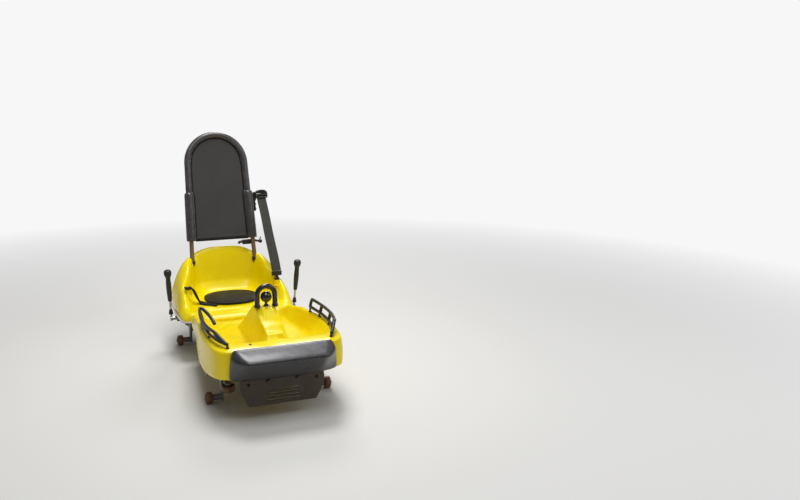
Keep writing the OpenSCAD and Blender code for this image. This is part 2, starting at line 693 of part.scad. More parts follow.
// Brake unit: two long shoes under the middle of the chassis that straddle the fin of the track
shoe_w = 26;
shoe_h = 44;
shoe_s0 = 560;
shoe_s1 = 860;
module brake_unit() {
    bridge_h = beam_top_h - beam_h;
    color("slategray") {
        for (side = [-1, 1])
            box(side*(shoe_gap/2 + shoe_w/2) - shoe_w/2, side*(shoe_gap/2 + shoe_w/2) + shoe_w/2,
                shoe_s0, shoe_s1, bridge_h - 10 - shoe_h, bridge_h - 10);
        box(-beam_x - 18, beam_x + 18, shoe_s0 + 40, shoe_s0 + 80, bridge_h - 10, bridge_h);
        box(-beam_x - 18, beam_x + 18, shoe_s1 - 80, shoe_s1 - 40, bridge_h - 10, bridge_h);
    }
}

// Wheel carriers: a plate inside the rail with stub axles for the running, guide and under-rail wheels

run_axle_h = rail_r + run_wheel_d/2;
upstop_axle_h = -rail_r - upstop_gap - upstop_wheel_d/2;
guide_x_centre = wheel_x - rail_r - guide_wheel_d/2;
guide_offset = 84;
plate_half_l = 34;
cap_d = stub_d + 8;
cap_t = 3;
stub_r = stub_d/2;

// A stub axle outwards along X, with a shoulder before the wheel and a cap after it
module stub(x0, wheel_mid, wheel_w) {
    inner = wheel_mid - wheel_w/2;
    outer = wheel_mid + wheel_w/2;
    translate([x0, 0, 0]) rotate([0, 90, 0]) {
        cylinder(h = outer + 1 + cap_t - x0, d = stub_d);
        cylinder(h = inner - 1 - x0, d = cap_d + 4);
        translate([0, 0, outer + 1 - x0]) cylinder(h = cap_t, d = cap_d);
    }
}

// The carrier of the right-hand front corner; dir is 1 where the guide wheel sits towards the back
module carrier(axle_s, dir) {
    color("darkkhaki") translate([0, y_at(axle_s), z_at(0)]) {
        translate([plate_x, 0, 0]) rotate([90, 0, 90]) linear_extrude(plate_t)
            polygon([[-plate_half_l, 92], [plate_half_l, 92], [plate_half_l, 40], [20, -30],
                [20, upstop_axle_h - 12], [-20, upstop_axle_h - 12], [-20, -30], [-plate_half_l, 40]]);
        translate([0, 0, run_axle_h]) stub(plate_x + plate_t - 1, wheel_x, run_wheel_w);
        translate([0, 0, upstop_axle_h]) stub(plate_x + plate_t - 1, wheel_x, upstop_wheel_w);
        for (h = [guide_wheel_w/2 + 2, -guide_wheel_w/2 - 10])
            translate([guide_x_centre, dir*guide_offset, h]) cylinder(h = 8, d = stub_d + 12);
        for (h = [guide_wheel_w/2 + 2, -guide_wheel_w/2 - 10])
            translate([plate_x - 16, min(0, dir*guide_offset), h]) cube([18, guide_offset, 8]);
        translate([guide_x_centre, dir*guide_offset, -guide_wheel_w/2 - 10])
            cylinder(h = guide_wheel_w + 20, d = stub_d);
    }
}

module carrier_front_left() { mirror([1, 0, 0]) carrier(front_axle_s, -1); }
module carrier_front_right() { carrier(front_axle_s, -1); }
module carrier_rear_left() { mirror([1, 0, 0]) carrier(rear_axle_s, 1); }
module carrier_rear_right() { carrier(rear_axle_s, 1); }

// Wheels

// Running wheel with a tread hollowed to the rail tube
module run_wheel() {
    groove_r = rail_r + 1;
    rim_r = run_wheel_d/2 + groove_r - sqrt(groove_r*groove_r - run_wheel_w*run_wheel_w/4);
    color("saddlebrown") rotate([0, 90, 0]) difference() {
        cylinder(h = run_wheel_w, r = rim_r, center = true);
        rotate_extrude() translate([run_wheel_d/2 + groove_r, 0]) circle(r = groove_r, $fn = 96);
        cylinder(h = run_wheel_w + 2, r = stub_r + wheel_play, center = true);
        for (side = [-1, 1]) translate([0, 0, side*run_wheel_w/2]) rotate_extrude()
            translate([stub_r + 7, -4]) square([run_wheel_d/2 - stub_r - 16, 8]);
    }
}
module plain_wheel(d, w) {
    color("saddlebrown") difference() {
        union() {
            cylinder(h = w - 6, d = d, center = true);
            cylinder(h = w, d = d - 6, center = true);
        }
        cylinder(h = w + 2, r = stub_r + wheel_play, center = true);
        for (side = [-1, 1]) translate([0, 0, side*w/2]) rotate_extrude()
            translate([stub_r + 5, -3]) square([d/2 - stub_r - 13, 6]);
    }
}

module run_wheel_at(side, axle_s) { translate([side*wheel_x, y_at(axle_s), z_at(run_axle_h)]) run_wheel(); }
module guide_wheel_at(side, axle_s, dir) {
    translate([side*guide_x_centre, y_at(axle_s + dir*guide_offset), z_at(0)])
        plain_wheel(guide_wheel_d, guide_wheel_w);
}
module upstop_wheel_at(side, axle_s) {
    translate([side*wheel_x, y_at(axle_s), z_at(upstop_axle_h)]) rotate([0, 90, 0])
        plain_wheel(upstop_wheel_d, upstop_wheel_w);
}

module run_wheel_front_left() { run_wheel_at(-1, front_axle_s); }
module run_wheel_front_right() { run_wheel_at(1, front_axle_s); }
module run_wheel_rear_left() { run_wheel_at(-1, rear_axle_s); }
module run_wheel_rear_right() { run_wheel_at(1, rear_axle_s); }
module guide_wheel_front_left() { guide_wheel_at(-1, front_axle_s, -1); }
module guide_wheel_front_right() { guide_wheel_at(1, front_axle_s, -1); }
module guide_wheel_rear_left() { guide_wheel_at(-1, rear_axle_s, 1); }
module guide_wheel_rear_right() { guide_wheel_at(1, rear_axle_s, 1); }
module upstop_wheel_front_left() { upstop_wheel_at(-1, front_axle_s); }
module upstop_wheel_front_right() { upstop_wheel_at(1, front_axle_s); }
module upstop_wheel_rear_left() { upstop_wheel_at(-1, rear_axle_s); }
module upstop_wheel_rear_right() { upstop_wheel_at(1, rear_axle_s); }

// Brake shaft with both lever rods, grips and boots

lever_lean = 3;
lever_back = 9;
grip_l = 146;
boot_start = 24;
boot_l = 26;
module on_lever(side) {
    translate([side*lever_x, y_at(shaft_s), z_at(shaft_h)]) rotate([lever_back, side*lever_lean, 0]) children();
}

module brake_shaft() {
    color("silver") {
        translate([0, y_at(shaft_s), z_at(shaft_h)]) rotate([0, 90, 0])
            cylinder(h = 2*lever_x, d = shaft_d, center = true);
        for (side = [-1, 1]) {
            on_lever(side) cylinder(h = lever_l - 20, d = lever_rod_d);
            translate([side*lever_x, y_at(shaft_s), z_at(shaft_h)]) rotate([0, 90, 0])
                cylinder(h = 12, d = shaft_d + 6, center = true);
        }
        translate([-10, y_at(shaft_s), z_at(shaft_h)]) rotate([90, 0, 90]) linear_extrude(20)
            polygon([[-14, 0], [14, 0], [7, -52], [-7, -52]]);
    }
}

module lever_grip(side) {
    color("black") on_lever(side) difference() {
        union() {
            translate([0, 0, lever_l - grip_l]) cylinder(h = grip_l - 14, d1 = 17, d2 = 24);
            translate([0, 0, lever_l]) sphere(d = 36);
        }
        translate([0, 0, lever_l - grip_l - 1]) cylinder(h = grip_l - 19, d = lever_rod_d);
    }
}
module lever_grip_left() { lever_grip(-1); }
module lever_grip_right() { lever_grip(1); }

module lever_boots() {
    color("black") for (side = [-1, 1]) on_lever(side) translate([0, 0, boot_start]) difference() {
        cylinder(h = boot_l, d1 = 22, d2 = 14);
        translate([0, 0, -1]) cylinder(h = boot_l + 2, d = lever_rod_d + 2*wheel_play);
    }
}

seat_tub();
front_shell();
lower_rim();
front_bumper();
rear_buffer();
seat_mat();
lap_strap();
belt_webbing();
belt_guide();
belt_anchor();
grab_hoop();
console_knob();
foot_guard_left();
foot_guard_right();
back_frame();
frame_padding();
back_mesh();
tube_sockets();
chassis_frame();
cross_members();
front_crossplate();
brake_unit();
carrier_front_left();
carrier_front_right();
carrier_rear_left();
carrier_rear_right();
run_wheel_front_left();
run_wheel_front_right();
run_wheel_rear_left();
run_wheel_rear_right();
guide_wheel_front_left();
guide_wheel_front_right();
guide_wheel_rear_left();
guide_wheel_rear_right();
upstop_wheel_front_left();
upstop_wheel_front_right();
upstop_wheel_rear_left();
upstop_wheel_rear_right();
brake_shaft();
lever_grip_left();
lever_grip_right();
lever_boots();
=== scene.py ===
from math import atan2, copysign, cos, exp, hypot, pi, radians, remainder, sin, sqrt, tan, tau

import bmesh
import bpy
from mathutils import Matrix, Vector, noise


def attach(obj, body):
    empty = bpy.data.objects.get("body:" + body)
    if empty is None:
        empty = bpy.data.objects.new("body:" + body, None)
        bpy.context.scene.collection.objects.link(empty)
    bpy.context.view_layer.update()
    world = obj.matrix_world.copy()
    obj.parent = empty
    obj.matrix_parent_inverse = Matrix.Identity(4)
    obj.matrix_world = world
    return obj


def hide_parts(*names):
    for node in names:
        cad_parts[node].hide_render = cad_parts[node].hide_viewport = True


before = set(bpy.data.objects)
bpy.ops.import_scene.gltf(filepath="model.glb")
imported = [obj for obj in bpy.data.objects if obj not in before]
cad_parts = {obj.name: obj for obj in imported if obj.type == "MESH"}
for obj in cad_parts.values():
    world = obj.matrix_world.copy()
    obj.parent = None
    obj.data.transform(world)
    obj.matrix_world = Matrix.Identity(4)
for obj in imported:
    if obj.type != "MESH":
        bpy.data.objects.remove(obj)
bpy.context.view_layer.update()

# Places in millimetres: x from the middle, stations s back from the bumper's tip, heights h over the
# axis of the rails
HALF_L = 738.6246
RAIL_Z = 90.05
WALL = 7
UP = Vector((0, 0, 1))
SIDES = (("left", -1), ("right", 1))


def at(x, s, h):
    """The place of x, station and height, in metres."""
    return Vector((x, s - HALF_L, h + RAIL_Z)) / 1000


def mix(a, b, t):
    return a + (b - a) * t


def clamp(t):
    return min(1, max(0, t))


def smooth(t):
    c = clamp(t)
    return c * c * (3 - 2 * c)


def curve(s, rows):
    """The value at a station, eased between rows of (station, value)."""
    for (s0, a), (s1, b) in zip(rows, rows[1:]):
        if s < s1:
            return mix(a, b, smooth((s - s0) / (s1 - s0)))
    return rows[-1][1]


def quarters(line):
    """The points at a quarter and at three quarters of each step of a line."""
    steps = zip(line, line[1:])
    return [(mix(a[0], b[0], t), mix(a[1], b[1], t)) for a, b in steps for t in (0.25, 0.75)]


def rounded(line):
    """A line with its corners cut, whose ends stay."""
    return line[:1] + quarters(line) + line[-1:]


def outline(half):
    """Half an outline and its mirror image as a closed loop, with its corners cut twice."""
    loop = half + [(-x, s) for x, s in half[-2:0:-1]]
    for _ in range(2):
        loop = quarters(loop + loop[:1])
    return loop


# Materials
class Val:
    """A socket of a node tree; arithmetic on it adds Math nodes."""

    def __init__(self, tree, socket):
        self.tree, self.socket = tree, socket

    def node(self, kind, settings=None, inputs=None, output=0):
        """Any node: its settings first, then the values or links of its sockets."""
        made = self.tree.nodes.new("ShaderNode" + kind)
        for key, value in (settings or {}).items():
            setattr(made, key, value)
        for key, value in (inputs or {}).items():
            socket = made.inputs[key]
            if isinstance(value, Val):
                self.tree.links.new(value.socket, socket)
            elif socket.type == "RGBA" and len(value) == 3:
                socket.default_value = (*value, 1)
            else:
                socket.default_value = value
        return Val(self.tree, made.outputs[output])

    def math(self, operation, *others):
        return self.node("Math", {"operation": operation}, dict(enumerate([self, *others])))

    def __add__(self, other):
        return self.math("ADD", other)

    def __mul__(self, other):
        return self.math("MULTIPLY", other)

    def __sub__(self, other):
        return self.math("SUBTRACT", other)

    def __rsub__(self, other):
        return self.node("Math", {"operation": "SUBTRACT"}, {0: other, 1: self})

    __radd__ = __add__
    __rmul__ = __mul__

    def axis(self, index):
        return self.node("SeparateXYZ", {}, {"Vector": self}, index)

    def range(self, low, high, to_low=0, to_high=1):
        inputs = {"From Min": low, "From Max": high, "To Min": to_low, "To Max": to_high}
        return self.node("MapRange", {"clamp": True}, {"Value": self, **inputs})

    def noise(self, scale, detail, roughness=0.55):
        inputs = {"Vector": self, "Scale": scale, "Detail": detail, "Roughness": roughness}
        return self.node("TexNoise", {}, inputs)

    def cells(self, scale, feature="F1", output=0):
        return self.node("TexVoronoi", {"feature": feature}, {"Vector": self, "Scale": scale}, output)

    def stretched(self, scale, turn=(0, 0, 0)):
        return self.node("Mapping", {}, {"Vector": self, "Scale": scale, "Rotation": turn})

    def tint(self, dark, light):
        """A colour between two, where this value goes from 0 to 1; a tuple is sRGB from 0 to 255."""
        dark, light = (c if isinstance(c, Val) else srgb(*c) for c in (dark, light))
        return self.node("Mix", {"data_type": "RGBA"}, {0: self, 6: dark, 7: light}, 2)


def srgb(r, g, b):
    def linear(c):
        c /= 255
        return c / 12.92 if c <= 0.04045 else ((c + 0.055) / 1.055) ** 2.4
    return tuple(linear(c) for c in (r, g, b))


def material(name, paint, **fixed):
    """A principled material. paint(place, uv) gives its colour, roughness, bump height and depth, and
    an alpha if it is see-through; fixed holds the other sockets.
    """
    mat = bpy.data.materials.new(name)
    mat.use_nodes = True
    tree = mat.node_tree
    shader = tree.nodes["Principled BSDF"]
    coordinates = tree.nodes.new("ShaderNodeTexCoord")
    place, uv = (Val(tree, coordinates.outputs[kind]) for kind in ("Object", "UV"))
    for key, value in fixed.items():
        shader.inputs[key.replace("_", " ")].default_value = value
    colour, rough, height, depth, *alpha = paint(place, uv)
    bump = place.node("Bump", {}, {"Height": height, "Distance": depth, "Strength": 1})
    links = {"Base Color": colour, "Roughness": rough, "Normal": bump, **dict(zip(["Alpha"], alpha))}
    for key, value in links.items():
        tree.links.new(value.socket, shader.inputs[key])
    return mat


def facing_up(place):
    """The upward share of the surface's normal."""
    return place.node("NewGeometry", {}, {}, 1).axis(2)


def gloss_shell(place, uv):
    """Moulded yellow plastic: orange peel, hairline scuffs, foot dirt on the floor, and patches darker
    towards the bottom of the outside.
    """
    cloud = place.noise(5, 4)
    scuff = place.stretched((9, 3, 9)).noise(14, 8, 0.7).range(0.58, 0.76)
    hair = place.stretched((2, 60, 20), (0, 0, 0.5)).noise(6, 9, 0.8).range(0.62, 0.7)
    height = place.axis(2)
    # Patches darker towards the bottom of the outside, below the pan's height. This mask and the floor's
    # foot dirt darken and roughen as one.
    outside = height.range(0.235, 0.165) * 0.35
    floor = height.range(0.225, 0.195) * facing_up(place).range(0.75, 0.97) * 0.22
    floor_dirt_and_low_darkening = (outside + floor) * place.noise(26, 7, 0.65).range(0.42, 0.8)
    colour = cloud.range(0.3, 0.7).tint((246, 219, 0), (251, 228, 0))
    colour = (scuff * 0.16 + hair * 0.1).tint(colour, (236, 214, 50))
    colour = floor_dirt_and_low_darkening.tint(colour, (150, 122, 24))
    rough = scuff * 0.2 + hair * 0.12 + cloud.range(0.3, 0.7, 0, 0.05) + 0.2
    peel = place.noise(170, 2) * 0.3 + place.noise(28, 2)
    return colour, rough + floor_dirt_and_low_darkening * 0.5, peel, 0.0007


def bumper_plastic(place, uv):
    """Dark grey moulded bumper: fine grain, dust and a painted light sheen on the top, scratches along
    the crease.
    """
    cloud = place.noise(9, 5)
    scratch = place.stretched((3, 30, 60)).noise(9, 8, 0.75).range(0.6, 0.76)
    chips = place.noise(120, 6, 0.7).range(0.66, 0.72) * place.axis(2).range(0.255, 0.272)
    # Dust on what faces up. Its pale bluish colour also paints a sheen on the top face, a painted
    # reflection of the sky.
    dust = facing_up(place).range(0.5, 0.95) * place.noise(40, 6).range(0.3, 0.8)
    colour = cloud.range(0.3, 0.7).tint((40, 38, 40), (52, 50, 53))
    colour = (dust * 0.35).tint(colour, (122, 121, 134))
    colour = (scratch * 0.3 + chips * 0.5).tint(colour, (126, 124, 126))
    rough = cloud.range(0.3, 0.7, 0.24, 0.33) + scratch * 0.18 + dust * 0.08
    return colour, rough, place.noise(420, 3), 0.0005


def mat_foam(place, uv):
    """Dark foam mat with a pebbled skin, paler where it is sat on."""
    pebble = place.cells(300, "SMOOTH_F1")
    cloud = place.noise(14, 5)
    worn = place.noise(6, 3).range(0.4, 0.7)
    colour = cloud.range(0.3, 0.7).tint((20, 18, 13), (31, 28, 20))
    colour = (worn * 0.3).tint(colour, (46, 42, 32))
    return colour, cloud.range(0.3, 0.7, 0.52, 0.7), pebble, 0.0009


def weave(dark, light, edge):
    """Ribbed webbing along its own UV map: u runs along in metres, v across from 0 to 1."""
    def paint(place, uv):
        along, across = uv.axis(0), uv.axis(1)
        ribs = (across * 2 * pi * 9).math("SINE").range(-1, 1)
        picks = (along * 2 * pi * 420).math("SINE").range(-1, 1)
        twill = ((along * 1500) + (across * 40)).math("SINE").range(-1, 1)
        rim = (across - 0.5).math("ABSOLUTE").range(0.43, 0.46)
        wear = place.noise(40, 5).range(0.35, 0.7)
        # Part of the colour follows the ribs: painted shade in the grooves between them. Wear and twill
        # are the webbing's own tone.
        colour = (ribs * 0.4 + wear * 0.4 + twill * 0.2).tint(dark, light)
        colour = (rim * 0.8).tint(colour, edge)
        return colour, wear.range(0, 1, 0.6, 0.8), ribs * 0.8 + picks * 0.4 + rim, 0.0007
    return paint


def grained(dark, light, rough, grain, depth, dust=0):
    """Plastic, rubber or vinyl with a fine grain and faint dust on what faces up."""
    def paint(place, uv):
        cloud = place.noise(16, 5)
        colour = cloud.range(0.3, 0.7).tint(dark, light)
        rough_now = cloud.range(0.3, 0.7, rough, rough + 0.12)
        if dust:
            film = facing_up(place).range(0.4, 1) * place.noise(60, 6).range(0.3, 0.9) * dust
            colour = film.tint(colour, (120, 112, 100))
            rough_now = rough_now + film * 0.3
        return colour, rough_now, place.noise(grain, 3), depth
    return paint


def foam_cover(place, uv):
    """Black vinyl cover of the padding: soft leather grain, long creases with painted shade in their
    hollows, rubbed paler spots.
    """
    leather = place.cells(420, "SMOOTH_F1")
    crease = place.stretched((26, 26, 9)).noise(3, 5, 0.6)
    rubbed = place.noise(11, 5).range(0.5, 0.75)
    # The colour follows the creases' relief: painted shade in their hollows, painted light on their
    # ridges.
    colour = crease.range(0.3, 0.7).tint((44, 41, 42), (64, 60, 62))
    colour = (rubbed * 0.35).tint(colour, (84, 79, 77))
    return colour, rubbed * 0.1 + 0.26, crease * 1.6 + leather * 0.4, 0.0008


def steel(dark, light, rough, rust):
    """Painted or galvanised steel with blotches, spangle, brushed grain and a little rust."""
    def paint(place, uv):
        cloud = place.noise(22, 6, 0.65)
        spangle = place.node("RGBToBW", {}, {"Color": place.cells(90, "F1", 1)})
        colour = (cloud.range(0.3, 0.7) * 0.7 + spangle * 0.3).tint(dark, light)
        spots = place.noise(55, 8, 0.7).range(0.6, 0.72)
        colour = (spots * rust).tint(colour, (104, 62, 34))
        rough_now = cloud.range(0.3, 0.7, rough, rough + 0.15) + spots * 0.2 * rust
        return colour, rough_now, place.noise(260, 5), 0.0003
    return paint


NET_PITCH = 0.0036


def net_cloth(place, uv):
    """See-through net: its cords cross on the panel's own UV map, in metres."""
    u, v = uv.axis(0), uv.axis(1)
    cords = [(axis * (pi / NET_PITCH)).math("SINE").math("ABSOLUTE") for axis in (u + v, u - v)]
    hole = (cords[0] * cords[1]).range(0.2, 0.48)
    cloud = place.noise(8, 4)
    colour = cloud.range(0.3, 0.7).tint((30, 27, 27), (46, 42, 41))
    return colour, cloud.range(0.3, 0.7, 0.55, 0.7), 1 - hole, 0.0005, 1 - hole * 0.22


BLACK, SOOT = (20, 20, 22), (34, 33, 35)
FINISH = {
    "yellow_shell": material("moulded_yellow", gloss_shell, Coat_Weight=0.18, Coat_Roughness=0.06,
                             Specular_IOR_Level=0.28),
    "pale_edge": material("pale_laminate", grained((196, 192, 178), (216, 213, 202), 0.5, 300, 0.0006)),
    "grey_bumper": material("grey_bumper", bumper_plastic, Coat_Weight=0.25, Coat_Roughness=0.15),
    "mat": material("mat_foam", mat_foam, Specular_IOR_Level=0.25),
    "black_foam": material("foam_cover", foam_cover, Sheen_Weight=0.2, Coat_Weight=0.3,
                           Coat_Roughness=0.25),
    "dark_mesh": material("back_net", net_cloth),
}
for slot, dark, light, edge, settings in [
        ("black_webbing", BLACK, SOOT, (16, 16, 18), {"Specular_IOR_Level": 0.2}),
        ("grey_webbing", (44, 43, 40), (74, 72, 67), (38, 37, 36), {"Specular_IOR_Level": 0.25})]:
    FINISH[slot] = material(slot, weave(dark, light, edge), **settings)
# slot, dark and light colour, roughness, scale and depth of the grain, dust, coat
for slot, dark, light, rough, grain, depth, dust, coat in [
        ("black_plastic", BLACK, SOOT, 0.26, 420, 0.0003, 0.08, 0),
        ("black_gloss", (12, 12, 14), (22, 22, 25), 0.1, 300, 0.0001, 0.05, 0.6),
        ("black_rubber", (24, 23, 23), (38, 36, 35), 0.4, 300, 0.0004, 0.2, 0),
        ("wheel_tread", (92, 58, 32), (124, 84, 50), 0.36, 350, 0.0004, 0.2, 0)]:
    FINISH[slot] = material(slot, grained(dark, light, rough, grain, depth, dust), Coat_Weight=coat)
# slot, name, dark and light colour, roughness, rust, metallic
for slot, name, dark, light, rough, rust, metal in [
        # A darker, rustier copy of the dull steel: painted shade on the chassis, its cross members and
        # the front crossplate.
        ("shade_painted_steel", "shade_painted_steel", (58, 50, 42), (86, 76, 62), 0.46, 0.5, 0.3),
        # Its brown tint is partly a painted warm light cast on the back frame's tube.
        ("zinc_steel", "dull_steel", (112, 90, 58), (142, 118, 82), 0.4, 0.3, 0.35),
        ("galvanised", "galvanised", (98, 99, 99), (140, 141, 140), 0.42, 0.25, 0.5),
        ("bright_steel", "bright_steel", (168, 168, 166), (200, 200, 198), 0.22, 0.05, 1),
        ("cast_iron", "cast_iron", (52, 52, 54), (78, 78, 80), 0.5, 0.35, 0.4)]:
    FINISH[slot] = material(name, steel(dark, light, rough, rust), Metallic=metal)


# Making pieces
def mesh_of(name, bm):
    """A mesh from a bmesh, which is freed."""
    mesh = bpy.data.meshes.new(name)
    bm.to_mesh(mesh)
    bm.free()
    return mesh


def placed(name, data):
    """A new object of the scene."""
    obj = bpy.data.objects.new(name, data)
    bpy.context.scene.collection.objects.link(obj)
    return obj


def piece(name, bm, slot, body="sled", replaces=None, levels=0, bevel=0, angle=40, wall=0,
          outwards=False, finish=None):
    """Turns a bmesh into a finished piece that rides on a body and may replace a node of the CAD.

    levels smooths it, bevel softens its edges past an angle and wall gives it a thickness, in
    millimetres. Its material is its slot's, or another finish.
    """
    if outwards:
        bmesh.ops.recalc_face_normals(bm, faces=bm.faces)
    mesh = mesh_of(name, bm)
    obj = placed(name, mesh)
    mesh.materials.append(FINISH[finish or slot])
    mesh.shade_smooth()
    if not levels:
        mesh.set_sharp_from_angle(angle=radians(angle))
    if wall:
        shell = obj.modifiers.new("wall", "SOLIDIFY")
        shell.thickness, shell.offset, shell.use_even_offset = wall / 1000, -1, False
    if bevel:
        edge = obj.modifiers.new("edges", "BEVEL")
        edge.width, edge.segments, edge.limit_method = bevel / 1000, 3, "ANGLE"
        edge.angle_limit = radians(angle)
    if levels:
        smoother = obj.modifiers.new("smooth", "SUBSURF")
        smoother.levels = smoother.render_levels = levels
    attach(obj, body)
    if replaces:
        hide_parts(replaces)
    return obj


def extruded(bm, row, edges, ring):
    """Extrudes a row of vertices to the places of the next ring."""
    made = bmesh.ops.extrude_edge_only(bm, edges=edges)["geom"]
    fresh = {g for g in made if isinstance(g, bmesh.types.BMVert)}
    row = [next(e.other_vert(v) for e in v.link_edges if e.other_vert(v) in fresh) for v in row]
    edges = [g for g in made if isinstance(g, bmesh.types.BMEdge) and all(v in fresh for v in g.verts)]
    for v, p in zip(row, ring):
        v.co = p
    return row, edges


def skin(rings, closed=True, uv=None):
    """A skin through rings of equal length. uv(i, j) gives the UV of point j on ring i."""
    bm = bmesh.new()
    row = [bm.verts.new(p) for p in rings[0]]
    ends = row[1:] + row[:1] if closed else row[1:]
    edges = [bm.edges.new(pair) for pair in zip(row, ends)]
    rows = [row]
    for ring in rings[1:]:
        row, edges = extruded(bm, row, edges, ring)
        rows.append(row)
    if uv:
        layer = bm.loops.layers.uv.new("UVMap")
        place = {v: uv(i, j) for i, line in enumerate(rows) for j, v in enumerate(line)}
        for face in bm.faces:
            for loop in face.loops:
                loop[layer].uv = place[loop.vert]
    return bm


def merged(bm):
    bmesh.ops.remove_doubles(bm, verts=bm.verts, dist=1e-6)
    return bm


def capped(bm):
    """Closes the open ends of a skin."""
    bmesh.ops.holes_fill(bm, edges=[e for e in bm.edges if e.is_boundary], sides=0)
    return bm


def frames(points, first=None):
    """Two steady directions across a path, at each of its points."""
    last = len(points) - 1
    along = [(points[min(i + 1, last)] - points[max(i - 1, 0)]).normalized() for i in range(last + 1)]
    side = first or along[0].orthogonal().normalized()
    rows = []
    for t in along:
        side = (side - t * side.dot(t)).normalized()
        rows.append((side, t.cross(side)))
    return rows


def circle(sides):
    return [k * tau / sides for k in range(sides)]


def round_rings(points, radius, sides, swell=None, first=None):
    """Rings round a path, radius in millimetres; swell(i, turn) scales the radius."""
    turns = circle(sides)
    return [[p + (a * cos(w) + b * sin(w)) * radius / 1000 * (swell(i, w) if swell else 1)
             for w in turns] for i, (p, (a, b)) in enumerate(zip(points, frames(points, first)))]


def tube(points, radius, sides):
    return capped(skin(round_rings(points, radius, sides)))


def stood(place, axis):
    """The matrix that stands a form's own Z along an axis at a place."""
    turn = UP.rotation_difference(Vector(axis).normalized()).to_matrix().to_4x4()
    return Matrix.Translation(place) @ turn


def lathe(profile, place, axis, steps=40):
    """Spins a profile of (radius, height) in millimetres round an axis through a place."""
    bm = bmesh.new()
    verts = [bm.verts.new((r / 1000, 0, h / 1000)) for r, h in profile]
    edges = [bm.edges.new(pair) for pair in zip(verts, verts[1:])]
    bmesh.ops.spin(bm, geom=verts + edges, cent=(0, 0, 0), axis=(0, 0, 1), angle=tau, steps=steps,
                   use_merge=True)
    merged(bm)
    bmesh.ops.recalc_face_normals(bm, faces=bm.faces)
    bmesh.ops.transform(bm, matrix=stood(place, axis), verts=bm.verts)
    return bm


def block(low, high, bevel, matrix):
    """A bevelled box between two corners in millimetres, put in place by a matrix."""
    bm = bmesh.new()
    low, high = Vector(low) / 1000, Vector(high) / 1000
    size, middle = high - low, (high + low) / 2
    bmesh.ops.create_cube(bm, size=1, matrix=Matrix.Translation(middle) @ Matrix.Diagonal((*size, 1)))
    bmesh.ops.bevel(bm, geom=bm.edges, offset=bevel / 1000, segments=3, profile=0.5, material=-1,
                    affect="EDGES")
    bmesh.ops.transform(bm, matrix=matrix, verts=bm.verts)
    return bm


def joined(*meshes):
    """Several bmeshes as one."""
    together = bmesh.new()
    for bm in meshes:
        mesh = mesh_of("part", bm)
        together.from_mesh(mesh)
        bpy.data.meshes.remove(mesh)
    return together


# How far a hexagon's corners lie from its middle, as a share of its width, and a washer's height
HEX_CORNER, WASHER_H = 0.577, 1.7


def hex_head(place, axis, across=13, height=6, washer=9):
    """A bolt head on its washer; axis points away from what it clamps."""
    head = bmesh.new()
    lift = Matrix.Translation((0, 0, (height / 2 + 1.6) / 1000))
    corner = across * HEX_CORNER / 1000
    bmesh.ops.create_cone(head, cap_ends=True, segments=6, radius1=corner, radius2=corner,
                          depth=height / 1000, matrix=lift)
    bmesh.ops.bevel(head, geom=head.edges, offset=0.0006, segments=2, profile=0.5, material=-1,
                    affect="EDGES")
    bmesh.ops.transform(head, matrix=stood(place, axis), verts=head.verts)
    disc = [(0, 0), (washer, 0), (washer, 1.3), (washer - 0.4, WASHER_H), (0, WASHER_H)]
    return joined(head, lathe(disc, place, axis, 20))


def dressed(node, slot, body="sled", bevel=1.5, angle=35, finish=None):
    """A merged copy of a CAD node with softened edges."""
    bm = bmesh.new()
    bm.from_mesh(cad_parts[node].data)
    bmesh.ops.remove_doubles(bm, verts=bm.verts, dist=1e-5)
    bmesh.ops.dissolve_limit(bm, angle_limit=radians(0.8), verts=bm.verts, edges=bm.edges)
    return piece(node + "_finished", bm, slot, body, node, bevel=bevel, angle=angle, finish=finish)


def ribbon(route, across, width, thickness):
    """Webbing along points with rounded edges; across gives the direction of its width at each point."""
    edge = 0.43
    section = [(-0.5, 0), (-edge, -0.5), (0, -0.5), (edge, -0.5), (0.5, 0), (edge, 0.5), (0, 0.5),
               (-edge, 0.5)]
    reach, rings, lengths = 0, [], []
    for i, (p, w) in enumerate(zip(route, across)):
        ahead = (route[min(i + 1, len(route) - 1)] - route[max(i - 1, 0)]).normalized()
        w = (w - ahead * w.dot(ahead)).normalized()
        out = ahead.cross(w)
        rings.append([p + (w * x * width + out * z * thickness) / 1000 for x, z in section])
        reach += (p - route[i - 1]).length if i else 0
        lengths.append(reach)
    return capped(skin(rings, uv=lambda i, j: (lengths[i], section[j][0] + 0.5)))


def band(name, path, across, size, slot="black_webbing", replaces=None):
    piece(name, ribbon(path, across, *size), slot, replaces=replaces, angle=70, outwards=True)


def spline(points, steps):
    """A smooth path through points (Catmull-Rom)."""
    path = []
    ends = [points[0] * 2 - points[1], *points, points[-1] * 2 - points[-2]]
    for a, b, c, d in zip(ends, ends[1:], ends[2:], ends[3:]):
        for k in range(steps):
            t = k / steps
            path.append(0.5 * (2 * b + (c - a) * t + (2 * a - 5 * b + 4 * c - d) * t * t
                               + (3 * b - a - 3 * c + d) * t ** 3))
    return path + [points[-1]]


# Camera: lens and place fitted to the photograph, the image taken as 800 by 500
LENS, SENSOR = 38.25, 36
YAW, PITCH, ROLL = (radians(v) for v in (22.3, 12, 0.4))
CAMERA_PLACE = at(-793, -3050, 1285)


